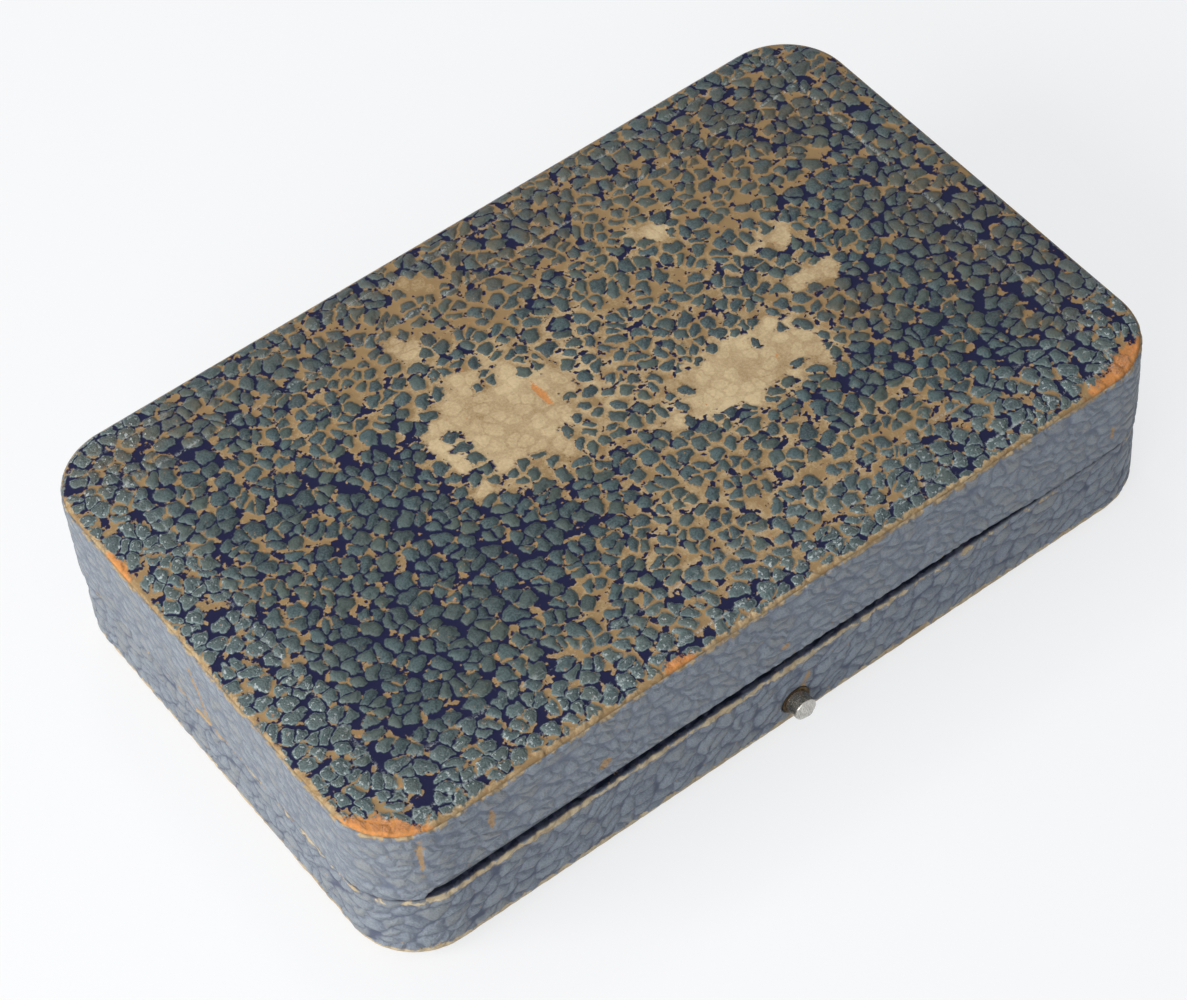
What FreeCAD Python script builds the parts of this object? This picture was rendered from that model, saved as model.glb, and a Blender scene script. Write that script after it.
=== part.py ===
"""A drafting instrument case: a small hinged box with a push-button catch.

Millimetres. The origin is at the middle of the underside, +Z is up, the long side lies along X,
the button is in the front (-Y) and the hinges are in the back (+Y). The case is modelled shut.
"""
import FreeCAD, Part
import math
import os

Vector = FreeCAD.Vector

# The whole case, over its covering
CASE_LENGTH = 120.0
CASE_WIDTH = 74.0
BASE_HEIGHT = 13.2            # underside to the base's rim
LID_HEIGHT = 13.9             # the lid's rim to its top
PARTING_GAP = 0.2             # between the two rims
CORNER_RADIUS = 9.6
BASE_INSET = 0.3              # the base stands in from the lid all round
ARRIS_ROUND = 0.4             # of both rims' outer edges

# Covering
SIDE_COVER = 0.6
RIM_TURN = 2.4                # how far the side strip is turned over the rims
TOP_COVER = 0.8
TOP_COVER_INSET = 0.15        # the top sheet is trimmed just inside the side strip
TOP_COVER_ROUND = 0.5
BOTTOM_COVER = 0.8
BOTTOM_COVER_INSET = 2.6
BOTTOM_STEP = 0.2             # the bottom sheet stands below the turned-in side strip
BOTTOM_ROUND = 2.2

# Wooden carcass. Walls are measured from the lid's outer face to the hollow.
BASE_BOARD = 1.8
LID_BOARD = 2.4
FRONT_WALL = 6.8
BACK_WALL = 6.4
SIDE_WALL = 4.8

# Finger groove along the lower front edge of the lid
GROOVE_LEAN = 0.8             # depth for each millimetre of rise
GROOVE_LEFT_RISE = 2.4
GROOVE_LEFT_END = 3.0         # left end of the case to the groove's left tip
GROOVE_LEFT_RUN = 4.0         # length over which it deepens there
GROOVE_RIGHT_RISE = 1.5
GROOVE_RIGHT_END = 12.0
GROOVE_RIGHT_RUN = 22.0

# Hinges: the back edges are bevelled about the pin, and meet at the stop angle
HINGE_SETBACK = 1.6           # pin's axis, in from the lid's back face
STOP_ANGLE = 105.0
HINGE_WIDTH = 16.0
HINGE_END_DISTANCE = 28.0     # end of the case to the middle of a hinge
LEAF = 0.6
LEAF_MARGIN = 0.4             # wood left between a leaf and the hollow
KNUCKLE_RADIUS = 1.5
KNUCKLE_GAP = 0.2             # between neighbouring knuckles
KNUCKLE_CLEARANCE = 0.3       # round the knuckles
PIN_RADIUS = 0.7
PIN_CLEARANCE = 0.05
PIN_FIT = 0.01                # in the knuckles that hold the pin
HINGE_SCREW_SPREAD = 5.0      # each side of the hinge's middle

# Screws
SCREW_HEAD_RADIUS = 0.9
SCREW_SHANK_RADIUS = 0.5
SCREW_LENGTH = 5.0
SCREW_CLEARANCE = 0.03
SCREW_SLOT = 0.25
SCREW_SLOT_DEPTH = 0.2
SCREW_TURN = 40.0             # each slot stands turned from the last

# Button and its ferrule
BUTTON_RADIUS = 1.6
BUTTON_PROUD = 2.7            # beyond the base's front face
BUTTON_DOME = 0.4             # height of the rounded end
BUTTON_CLEARANCE = 0.05
BUTTON_TRAVEL = 1.0
COLLAR_RADIUS = 1.95
COLLAR_LENGTH = 0.9
COLLAR_CLEARANCE = 0.3
FERRULE_WALL = 0.4
FERRULE_PROUD = 0.1

# Latch spring, which lies in a mortise behind the front rail
MORTISE_DEPTH = 3.2
MORTISE_CLEARANCE = 0.4       # round the spring
MORTISE_FLOOR = 0.2           # wood under the mortise, above the base board
SPRING = 0.5
SPRING_WIDTH = 3.6
SPRING_FREE_END = 5.0         # from the button's axis to the spring's free end
SPRING_FIXED_END = 27.0       # from the button's axis to the spring's fixed end
LATCH_SCREW_PITCH = 5.5
LATCH_SCREW_MARGIN = 3.0      # from the spring's fixed end
LATCH_HEAD_RADIUS = 1.3
LATCH_HEAD = 0.6
LATCH_SHANK_RADIUS = 0.6
LATCH_SCREW_BITE = 1.8
BUTTON_PLAY = 0.05            # between the button's collar and the spring
HOOK_WIDTH = 5.0
HOOK_CATCH = 0.6              # how far the nose reaches over the keeper
HOOK_GAP = 0.2                # between the hook and the keeper's slot
NOSE_HEIGHT = 1.0
NOSE_TIP = 0.25

# Keeper plate, let into the lid's front rail
KEEPER = 0.8
KEEPER_LENGTH = 18.0
KEEPER_LIP = 0.7              # in front of the slot
KEEPER_BACK = 0.9             # behind the slot
KEEPER_PLAY = 0.3             # slot's room behind the hook at full travel
KEEPER_SCREW_SPREAD = 6.4
POCKET_CLEARANCE = 0.3        # round the hook's nose

# Fitted tray
TRAY_CLEARANCE = 0.2
TRAY_DROP = 0.6               # tray's top below the base's rim
VELVET = 0.5
TRAY_END_MARGIN = 3.5         # left beyond the recesses' ends
DEEP_FLOOR = 1.9              # wood under the deep recesses
SHALLOW_FLOOR = 3.2
COMPASS_HEAD_RADIUS = 8.0
COMPASS_TIP_RADIUS = 4.6
DIVIDER_HEAD_RADIUS = 7.4
DIVIDER_TIP_RADIUS = 4.4
PEN_RADIUS = 3.8
LEAD_RADIUS = 3.8
LEAD_LENGTH = 44.0
LEAD_KEY_RIB = 7.0            # between the lead recess and the key recess
WELL_RADIUS = 16.0
WELL_FLOOR = 4.6              # wood under the finger well
WELL_RIB = 3.0                # wood left at the well's ends

# Lid's lining
LINING = 0.4
LINING_STEP = 0.3             # the lining stops short of the rim
PAD_CARD = 0.8
PAD_THICKNESS = 3.0
PAD_CLEARANCE = 0.3
PAD_RADIUS = 4.0
PAD_DRAW = 0.8                # how far the sides draw in at the card
PAD_SHOULDER = 2.6            # how far in the crown begins

# Levels and faces that follow from these
LID_RIM = BASE_HEIGHT + PARTING_GAP
LID_TOP = LID_RIM + LID_HEIGHT
LID_BOARD_TOP = LID_TOP - TOP_COVER
LID_BOARD_UNDER = LID_BOARD_TOP - LID_BOARD
BASE_BOARD_TOP = BOTTOM_COVER + BASE_BOARD
FRONT_FACE = -CASE_WIDTH / 2
BACK_FACE = CASE_WIDTH / 2
BASE_FRONT_FACE = FRONT_FACE + BASE_INSET
HOLLOW_FRONT = FRONT_FACE + FRONT_WALL
HOLLOW_BACK = BACK_FACE - BACK_WALL
HOLLOW_SIDE = CASE_LENGTH / 2 - SIDE_WALL
PARTING = BASE_HEIGHT + PARTING_GAP / 2
PIN_Y = BACK_FACE - HINGE_SETBACK
PIN_Z = PARTING
FAR = CASE_LENGTH             # reaches past every face
HINGES = {"left": -CASE_LENGTH / 2 + HINGE_END_DISTANCE,
          "right": CASE_LENGTH / 2 - HINGE_END_DISTANCE}
LEAF_INNER = HOLLOW_BACK + LEAF_MARGIN
LEAF_OUTER = PIN_Y - KNUCKLE_RADIUS - KNUCKLE_CLEARANCE
BUTTON_HEIGHT = BASE_BOARD_TOP + MORTISE_FLOOR + MORTISE_CLEARANCE + SPRING_WIDTH / 2
SPRING_SEAT = HOLLOW_FRONT - MORTISE_DEPTH
SPRING_BACK = SPRING_SEAT + SPRING
KEEPER_TOP = LID_RIM + KEEPER
SLOT_FRONT = SPRING_SEAT - HOOK_GAP
SLOT_BACK = SPRING_BACK + BUTTON_TRAVEL + KEEPER_PLAY
NOSE_UNDER = KEEPER_TOP + HOOK_GAP
NOSE_TOP = NOSE_UNDER + NOSE_HEIGHT
NOSE_REACH = SLOT_FRONT - HOOK_CATCH
TRAY_TOP = BASE_HEIGHT - TRAY_DROP
TRAY_WOOD_TOP = TRAY_TOP - VELVET
TRAY_SIDE = HOLLOW_SIDE - TRAY_CLEARANCE
TRAY_FRONT = HOLLOW_FRONT + TRAY_CLEARANCE
TRAY_BACK = HOLLOW_BACK - TRAY_CLEARANCE


def box(x0, x1, y0, y1, z0, z1):
    """A block between two corners."""
    return Part.makeBox(x1 - x0, y1 - y0, z1 - z0, Vector(x0, y0, z0))


def rod(radius, start, end):
    """A cylinder from one point to another."""
    run = end - start
    return Part.makeCylinder(radius, run.Length, start, run)


def join(shapes):
    """One solid from several that overlap or touch."""
    return shapes[0].multiFuse(shapes[1:]).removeSplitter()


def rounded_wire(x_half, y_front, y_back, radius, z):
    """A rectangle with round corners, as a closed wire at one height."""
    step = radius * (1 - math.sqrt(0.5))
    corners = [(x_half, y_front, -1, 1), (x_half, y_back, -1, -1),
               (-x_half, y_back, 1, -1), (-x_half, y_front, 1, 1)]
    arcs = []
    for turn, (x, y, inward_x, inward_y) in enumerate(corners):
        along_x = Vector(x + inward_x * radius, y, z)
        along_y = Vector(x, y + inward_y * radius, z)
        middle = Vector(x + inward_x * step, y + inward_y * step, z)
        first, last = (along_x, along_y) if turn % 2 == 0 else (along_y, along_x)
        arcs.append((first, middle, last))
    edges = []
    for (first, middle, last), (following, _, _) in zip(arcs, arcs[1:] + arcs[:1]):
        edges.append(Part.Arc(first, middle, last).toShape())
        edges.append(Part.LineSegment(last, following).toShape())
    return Part.Wire(edges)


def case_prism(inset, z0, z1):
    """The case's plan, drawn in by an inset, between two heights."""
    wire = rounded_wire(CASE_LENGTH / 2 - inset, FRONT_FACE + inset, BACK_FACE - inset,
                        CORNER_RADIUS - inset, z0)
    return Part.Face(wire).extrude(Vector(0, 0, z1 - z0))


def edges_at(shape, z):
    """The edges of a shape that lie flat at one height."""
    return [edge for edge in shape.Edges
            if all(abs(vertex.Z - z) < 1e-6 for vertex in edge.Vertexes)
            and abs(edge.CenterOfMass.z - z) < 1e-6]


def solid_from_faces(points, faces):
    """A solid with flat faces, each given as the indices of its corners."""
    shells = []
    for face in faces:
        loop = [points[index] for index in face]
        shells.append(Part.Face(Part.makePolygon(loop + loop[:1])))
    solid = Part.Solid(Part.Shell(shells))
    if solid.Volume < 0:
        solid.reverse()
    return solid


def groove_cutter(cover):
    """The lid's finger groove, which runs out at both ends, drawn in by a cover's thickness."""
    deeper = cover * math.hypot(1.0, GROOVE_LEAN)
    outside = FRONT_FACE - CORNER_RADIUS
    left_full = -CASE_LENGTH / 2 + GROOVE_LEFT_END + GROOVE_LEFT_RUN
    right_full = CASE_LENGTH / 2 - GROOVE_RIGHT_END - GROOVE_RIGHT_RUN
    points = []
    for x, run, rise in ((left_full, -GROOVE_LEFT_RUN, GROOVE_LEFT_RISE),
                         (right_full, GROOVE_RIGHT_RUN, GROOVE_RIGHT_RISE)):
        depth = GROOVE_LEAN * rise
        vertex = FRONT_FACE + depth + deeper
        height = (vertex - outside) / GROOVE_LEAN
        tip = x + run * (vertex - outside) / depth
        points += [Vector(x, vertex, PARTING), Vector(x, outside, PARTING + height),
                   Vector(tip, outside, PARTING)]
    faces = [(0, 3, 4, 1), (0, 2, 5, 3), (2, 1, 4, 5), (0, 1, 2), (3, 5, 4)]
    return solid_from_faces(points, faces)


def bevel_cutter(cover):
    """The bevels of the back edges: a vee whose vertex lies on the pin's axis."""
    slope = math.radians(STOP_ANGLE / 2)
    vertex = PIN_Y - cover / math.sin(slope)
    outside = BACK_FACE + HINGE_SETBACK
    half = (outside - vertex) * math.tan(slope)
    profile = [Vector(-FAR, vertex, PIN_Z), Vector(-FAR, outside, PIN_Z + half),
               Vector(-FAR, outside, PIN_Z - half)]
    face = Part.Face(Part.makePolygon(profile + profile[:1]))
    return face.extrude(Vector(2 * FAR, 0, 0))


def rim_rebate(inset, z0, z1):
    """The step round a rim that the turned-over side strip lies in."""
    return case_prism(inset, z0, z1).cut(case_prism(inset + RIM_TURN, z0, z1))


def knuckle_room():
    """The round relief behind each hinge's knuckles."""
    half = HINGE_WIDTH / 2 + KNUCKLE_CLEARANCE
    rooms = []
    for x in HINGES.values():
        rooms.append(rod(KNUCKLE_RADIUS + KNUCKLE_CLEARANCE,
                         Vector(x - half, PIN_Y, PIN_Z), Vector(x + half, PIN_Y, PIN_Z)))
    return rooms


def screw(clearance, slotted):
    """A countersunk screw, head up at the origin, or the hole for one."""
    head = SCREW_HEAD_RADIUS + clearance
    shank = SCREW_SHANK_RADIUS + clearance
    cone = head - shank
    body = join([Part.makeCone(shank, head, cone, Vector(0, 0, -cone)),
                 rod(shank, Vector(0, 0, -SCREW_LENGTH), Vector(0, 0, -cone / 2))])
    if slotted:
        body = body.cut(box(-FAR, FAR, -SCREW_SLOT / 2, SCREW_SLOT / 2, -SCREW_SLOT_DEPTH, FAR))
    return body


def place_screws(spots, points_up, clearance, slotted):
    """Countersunk screws at several spots, driven down, or up where points_up is set."""
    placed = []
    for turn, spot in enumerate(spots):
        one = screw(clearance, slotted)
        one.rotate(Vector(0, 0, 0), Vector(0, 0, 1), SCREW_TURN * (turn + 0.5))
        if points_up:
            one.rotate(Vector(0, 0, 0), Vector(1, 0, 0), 180.0)
        one.translate(spot)
        placed.append(one)
    return placed


def hinge_screw_spots(z):
    """Where the screws go through the hinge leaves at one height."""
    y = (LEAF_INNER + LEAF_OUTER) / 2
    return [Vector(x + side * HINGE_SCREW_SPREAD, y, z)
            for x in HINGES.values() for side in (-1, 1)]


def keeper_screw_spots():
    """Where the screws go through the keeper plate."""
    y = (SLOT_FRONT + SLOT_BACK) / 2
    return [Vector(side * KEEPER_SCREW_SPREAD, y, LID_RIM) for side in (-1, 1)]


def hinge_leaf(x, in_lid):
    """One leaf with its knuckles: the middle one on the lid's leaf, the outer two on the base's."""
    third = HINGE_WIDTH / 3
    z0, z1 = (LID_RIM, LID_RIM + LEAF) if in_lid else (BASE_HEIGHT - LEAF, BASE_HEIGHT)
    spans = [(-third / 2, third / 2)] if in_lid else [(-1.5 * third, -third / 2),
                                                      (third / 2, 1.5 * third)]
    pieces = [box(x - HINGE_WIDTH / 2, x + HINGE_WIDTH / 2, LEAF_INNER, LEAF_OUTER, z0, z1)]
    for start, end in spans:
        x0 = x + start + (KNUCKLE_GAP / 2 if start > -HINGE_WIDTH / 2 else 0)
        x1 = x + end - (KNUCKLE_GAP / 2 if end < HINGE_WIDTH / 2 else 0)
        pieces.append(box(x0, x1, LEAF_INNER, PIN_Y, z0, z1))
        pieces.append(rod(KNUCKLE_RADIUS, Vector(x0, PIN_Y, PIN_Z), Vector(x1, PIN_Y, PIN_Z)))
    leaf = join(pieces)
    bore = PIN_RADIUS + (PIN_CLEARANCE if in_lid else PIN_FIT)
    leaf = leaf.cut(rod(bore, Vector(-FAR, PIN_Y, PIN_Z), Vector(FAR, PIN_Y, PIN_Z)))
    spots = hinge_screw_spots(LID_RIM if in_lid else BASE_HEIGHT)
    return leaf.cut(place_screws(spots, in_lid, SCREW_CLEARANCE, False))


def hinge_pin(x):
    """The pin of one hinge, as long as its knuckles."""
    half = HINGE_WIDTH / 2
    return rod(PIN_RADIUS, Vector(x - half, PIN_Y, PIN_Z), Vector(x + half, PIN_Y, PIN_Z))


def leaf_mortises(z0, z1):
    """The rebates that the leaves of one half are let into."""
    half = HINGE_WIDTH / 2
    return [box(x - half, x + half, LEAF_INNER, PIN_Y, z0, z1) for x in HINGES.values()]


def rails(wood):
    """A wooden ring cut into its front, back, left and right rails."""
    low, high = wood.BoundBox.ZMin - 1, wood.BoundBox.ZMax + 1
    zones = {"front": box(-FAR, FAR, -FAR, HOLLOW_FRONT, low, high),
             "back": box(-FAR, FAR, HOLLOW_BACK, FAR, low, high),
             "left": box(-FAR, -HOLLOW_SIDE, HOLLOW_FRONT, HOLLOW_BACK, low, high),
             "right": box(HOLLOW_SIDE, FAR, HOLLOW_FRONT, HOLLOW_BACK, low, high)}
    return {side: wood.common(zone) for side, zone in zones.items()}


def front_rod(radius, y0, y1):
    """A cylinder on the button's axis, from one depth to another."""
    return rod(radius, Vector(0, y0, BUTTON_HEIGHT), Vector(0, y1, BUTTON_HEIGHT))


def ferrule_hole():
    """The hole that the button's ferrule is pushed into."""
    return front_rod(BUTTON_RADIUS + BUTTON_CLEARANCE + FERRULE_WALL,
                     FRONT_FACE - BUTTON_PROUD, SPRING_SEAT)


def collar_seat_y():
    """Depth of the counterbore's floor, where the ferrule ends."""
    return SPRING_SEAT - BUTTON_PLAY - COLLAR_LENGTH - COLLAR_CLEARANCE


def latch_screw_xs():
    """Where the latch screws stand along the spring."""
    last = SPRING_FIXED_END - LATCH_SCREW_MARGIN
    return [last - LATCH_SCREW_PITCH, last]


def latch_room():
    """The mortise for the spring, the slot for its hook and the button's counterbore."""
    half = SPRING_WIDTH / 2 + MORTISE_CLEARANCE
    low, high = BUTTON_HEIGHT - half, BUTTON_HEIGHT + half
    hook = HOOK_WIDTH / 2 + MORTISE_CLEARANCE
    counterbore = COLLAR_RADIUS + COLLAR_CLEARANCE
    room = [box(-SPRING_FREE_END - MORTISE_CLEARANCE, SPRING_FIXED_END + MORTISE_CLEARANCE,
                SPRING_SEAT, HOLLOW_FRONT, low, high),
            box(-hook, hook, SPRING_SEAT, HOLLOW_FRONT, BUTTON_HEIGHT, BASE_HEIGHT),
            front_rod(counterbore, collar_seat_y(), SPRING_SEAT + MORTISE_DEPTH / 2)]
    for x in latch_screw_xs():
        room.append(rod(LATCH_SHANK_RADIUS + SCREW_CLEARANCE,
                        Vector(x, SPRING_SEAT - LATCH_SCREW_BITE, BUTTON_HEIGHT),
                        Vector(x, SPRING_SEAT, BUTTON_HEIGHT)))
    return room


def keeper_room():
    """The rebate for the keeper plate and the pocket above it for the hook's nose."""
    half = KEEPER_LENGTH / 2
    hook = HOOK_WIDTH / 2 + POCKET_CLEARANCE
    return [box(-half, half, SLOT_FRONT - KEEPER_LIP, SLOT_BACK + KEEPER_BACK,
                LID_RIM, KEEPER_TOP),
            box(-hook, hook, NOSE_REACH - POCKET_CLEARANCE, SLOT_BACK, LID_RIM,
                NOSE_TOP + POCKET_CLEARANCE)]


def latch_spring():
    """The flat spring and its hook, which is bent up from it and ends in a sloped nose."""
    half = SPRING_WIDTH / 2
    strip = box(-SPRING_FREE_END, SPRING_FIXED_END, SPRING_SEAT, SPRING_BACK,
                BUTTON_HEIGHT - half, BUTTON_HEIGHT + half)
    shank = box(-HOOK_WIDTH / 2, HOOK_WIDTH / 2, SPRING_SEAT, SPRING_BACK,
                BUTTON_HEIGHT, NOSE_TOP)
    profile = [Vector(-HOOK_WIDTH / 2, SPRING_SEAT, NOSE_UNDER),
               Vector(-HOOK_WIDTH / 2, NOSE_REACH, NOSE_UNDER),
               Vector(-HOOK_WIDTH / 2, NOSE_REACH, NOSE_UNDER + NOSE_TIP),
               Vector(-HOOK_WIDTH / 2, SPRING_SEAT, NOSE_TOP)]
    nose = Part.Face(Part.makePolygon(profile + profile[:1])).extrude(Vector(HOOK_WIDTH, 0, 0))
    spring = join([strip, shank, nose])
    for x in latch_screw_xs():
        spring = spring.cut(rod(LATCH_SHANK_RADIUS + SCREW_CLEARANCE,
                                Vector(x, SPRING_SEAT - 1, BUTTON_HEIGHT),
                                Vector(x, SPRING_BACK + 1, BUTTON_HEIGHT)))
    return spring


def latch_screws():
    """The round-headed screws at the spring's fixed end."""
    placed = []
    for x in latch_screw_xs():
        shank = rod(LATCH_SHANK_RADIUS, Vector(x, SPRING_SEAT - LATCH_SCREW_BITE, BUTTON_HEIGHT),
                    Vector(x, SPRING_BACK + LATCH_HEAD / 2, BUTTON_HEIGHT))
        head = rod(LATCH_HEAD_RADIUS, Vector(x, SPRING_BACK, BUTTON_HEIGHT),
                   Vector(x, SPRING_BACK + LATCH_HEAD, BUTTON_HEIGHT))
        slot = box(x - SCREW_SLOT / 2, x + SCREW_SLOT / 2, SPRING_BACK + LATCH_HEAD - SCREW_SLOT_DEPTH,
                   SPRING_BACK + 2 * LATCH_HEAD, 0, LID_TOP)
        placed.append(join([shank, head]).cut(slot))
    return Part.makeCompound(placed)


def push_button():
    """The button: a round stem with a domed end, and a collar that keeps it in."""
    end = BASE_FRONT_FACE - BUTTON_PROUD
    inner = SPRING_SEAT - BUTTON_PLAY
    bulge = (BUTTON_RADIUS ** 2 + BUTTON_DOME ** 2) / (2 * BUTTON_DOME)
    ball = Part.makeSphere(bulge, Vector(0, end + bulge, BUTTON_HEIGHT))
    dome = front_rod(BUTTON_RADIUS, end, end + BUTTON_DOME).common(ball)
    stem = front_rod(BUTTON_RADIUS, end + BUTTON_DOME, inner)
    return join([dome, stem, front_rod(COLLAR_RADIUS, inner - COLLAR_LENGTH, inner)])


def button_ferrule():
    """The tube in the front rail that the button slides in."""
    inside = BUTTON_RADIUS + BUTTON_CLEARANCE
    start = BASE_FRONT_FACE - FERRULE_PROUD
    tube = front_rod(inside + FERRULE_WALL, start, collar_seat_y())
    return tube.cut(front_rod(inside, start - 1, collar_seat_y() + 1))


def keeper_plate():
    """The plate in the lid's rim, with the slot that the hook stands in."""
    half = KEEPER_LENGTH / 2
    hook = HOOK_WIDTH / 2 + POCKET_CLEARANCE
    plate = box(-half, half, SLOT_FRONT - KEEPER_LIP, SLOT_BACK + KEEPER_BACK, LID_RIM, KEEPER_TOP)
    plate = plate.cut(box(-hook, hook, SLOT_FRONT, SLOT_BACK, LID_RIM - 1, KEEPER_TOP + 1))
    return plate.cut(place_screws(keeper_screw_spots(), True, SCREW_CLEARANCE, False))


def tapered_slot(head, head_radius, tip, tip_radius, floor, grow):
    """A recess with round ends of two sizes, from its floor to above the tray."""
    head_radius += grow
    tip_radius += grow
    z = floor - grow
    lean = (head_radius - tip_radius) / (tip - head).Length
    along = (tip - head).normalize()
    across = Vector(-along.y, along.x, 0) * math.sqrt(1 - lean * lean)
    lift = Vector(0, 0, z)

    def at(centre, radius, side):
        return centre + (along * lean + across * side) * radius + lift

    edges = [Part.LineSegment(at(head, head_radius, 1), at(tip, tip_radius, 1)).toShape(),
             Part.Arc(at(tip, tip_radius, 1), tip + along * tip_radius + lift,
                      at(tip, tip_radius, -1)).toShape(),
             Part.LineSegment(at(tip, tip_radius, -1), at(head, head_radius, -1)).toShape(),
             Part.Arc(at(head, head_radius, -1), head - along * head_radius + lift,
                      at(head, head_radius, 1)).toShape()]
    face = Part.Face(Part.Wire(edges))
    return face.extrude(Vector(0, 0, LID_RIM - z))


def recess_rows():
    """Middle of each row of recesses, with even ribs between the rows and at the tray's edges."""
    radii = [COMPASS_HEAD_RADIUS, DIVIDER_HEAD_RADIUS, PEN_RADIUS, LEAD_RADIUS]
    rib = (TRAY_BACK - TRAY_FRONT - 2 * sum(radii)) / (len(radii) + 1)
    middles = []
    y = TRAY_FRONT
    for radius in radii:
        middles.append(y + rib + radius)
        y += rib + 2 * radius
    return middles


def recesses(grow):
    """The instruments' recesses and the finger well, grown by the lining's thickness."""
    compass_y, divider_y, pen_y, lead_y = recess_rows()
    end = TRAY_SIDE - TRAY_END_MARGIN
    deep = BASE_BOARD_TOP + DEEP_FLOOR + VELVET
    shallow = BASE_BOARD_TOP + SHALLOW_FLOOR + VELVET
    key_start = -end + LEAD_LENGTH + LEAD_KEY_RIB
    slots = [(-end, COMPASS_HEAD_RADIUS, end, COMPASS_TIP_RADIUS, compass_y, deep),
             (end, DIVIDER_HEAD_RADIUS, -end, DIVIDER_TIP_RADIUS, divider_y, deep),
             (-end, PEN_RADIUS, end, PEN_RADIUS, pen_y, shallow),
             (-end, LEAD_RADIUS, -end + LEAD_LENGTH, LEAD_RADIUS, lead_y, shallow),
             (key_start, LEAD_RADIUS, end, LEAD_RADIUS, lead_y, shallow)]
    cutters = []
    for start, start_radius, finish, finish_radius, y, floor in slots:
        inward = 1 if finish > start else -1
        head = Vector(start + inward * start_radius, y, 0)
        tip = Vector(finish - inward * finish_radius, y, 0)
        cutters.append(tapered_slot(head, start_radius, tip, finish_radius, floor, grow))
    well_axis = BASE_BOARD_TOP + WELL_FLOOR + VELVET + WELL_RADIUS
    cutters.append(rod(WELL_RADIUS + grow,
                       Vector(0, compass_y - COMPASS_HEAD_RADIUS + WELL_RIB - grow, well_axis),
                       Vector(0, pen_y + PEN_RADIUS + grow, well_axis)))
    return cutters


def tray_slab(z0, z1):
    """The tray's plan between two heights."""
    return box(-TRAY_SIDE, TRAY_SIDE, TRAY_FRONT, TRAY_BACK, z0, z1)


def tray_velvet():
    """The pile lining: a skin over the block's top and down into its recesses."""
    skin = tray_slab(TRAY_WOOD_TOP, TRAY_TOP)
    lined = join(recesses(VELVET)).common(tray_slab(BASE_BOARD_TOP, TRAY_TOP))
    return join([skin, lined]).cut(recesses(0.0))


def hollow_block(inset, z0, z1):
    """The hollow between the walls, drawn in by an inset."""
    return box(-HOLLOW_SIDE + inset, HOLLOW_SIDE - inset, HOLLOW_FRONT + inset, HOLLOW_BACK - inset,
               z0, z1)


def lid_pad():
    """The padded lining: crowned, with sides that draw in where it is glued to its card."""
    top = LID_BOARD_UNDER - PAD_CARD
    edge = LINING + PAD_CLEARANCE
    sections = [(PAD_DRAW, 0.0), (0.0, 0.4), (PAD_DRAW, 0.75), (PAD_SHOULDER, 0.92),
                (3 * PAD_SHOULDER, 1.0)]
    wires = []
    for inset, share in sections:
        draw = edge + inset
        wires.append(rounded_wire(HOLLOW_SIDE - draw, HOLLOW_FRONT + draw, HOLLOW_BACK - draw,
                                  PAD_RADIUS, top - share * PAD_THICKNESS))
    return Part.makeLoft(wires, True, True)


def base_pieces():
    """Every piece of the base."""
    outer = case_prism(BASE_INSET, BOTTOM_STEP, BASE_HEIGHT)
    outer = outer.makeFillet(BOTTOM_ROUND, edges_at(outer, BOTTOM_STEP))
    outer = outer.makeFillet(ARRIS_ROUND, edges_at(outer, BASE_HEIGHT))
    wood = case_prism(BASE_INSET + SIDE_COVER, BOTTOM_COVER, BASE_HEIGHT)
    wood = wood.makeFillet(BOTTOM_ROUND - SIDE_COVER, edges_at(wood, BOTTOM_COVER))
    wood = wood.cut([bevel_cutter(SIDE_COVER),
                     rim_rebate(BASE_INSET, BASE_HEIGHT - SIDE_COVER, BASE_HEIGHT)])
    mortises = leaf_mortises(BASE_HEIGHT - LEAF, BASE_HEIGHT)
    sole = case_prism(BASE_INSET + BOTTOM_COVER_INSET, 0.0, BOTTOM_COVER)
    board = wood.common(box(-FAR, FAR, -FAR, FAR, BOTTOM_COVER, BASE_BOARD_TOP))
    ring = wood.cut([board, hollow_block(0.0, BASE_BOARD_TOP, BASE_HEIGHT)])
    side = rails(ring)
    spots = hinge_screw_spots(BASE_HEIGHT)
    screw_holes = place_screws(spots, False, SCREW_CLEARANCE, False)
    pieces = {
        "base_board": board,
        "base_front_rail": side["front"].cut([ferrule_hole()] + latch_room()),
        "base_back_rail": side["back"].cut(knuckle_room() + screw_holes + mortises),
        "base_left_rail": side["left"],
        "base_right_rail": side["right"],
        "base_side_cover": outer.cut([wood, sole, bevel_cutter(0.0), ferrule_hole()]
                                     + knuckle_room() + mortises),
        "base_bottom_cover": sole,
        "tray_block": tray_slab(BASE_BOARD_TOP, TRAY_WOOD_TOP).cut(recesses(VELVET)),
        "tray_velvet": tray_velvet(),
        "hinge_screws_base": Part.makeCompound(place_screws(spots, False, 0.0, True)),
        "latch_spring": latch_spring(),
        "latch_screws": latch_screws(),
        "button_ferrule": button_ferrule(),
    }
    for name, x in HINGES.items():
        pieces["hinge_leaf_base_" + name] = hinge_leaf(x, False)
        pieces["hinge_pin_" + name] = hinge_pin(x)
    return pieces


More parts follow.
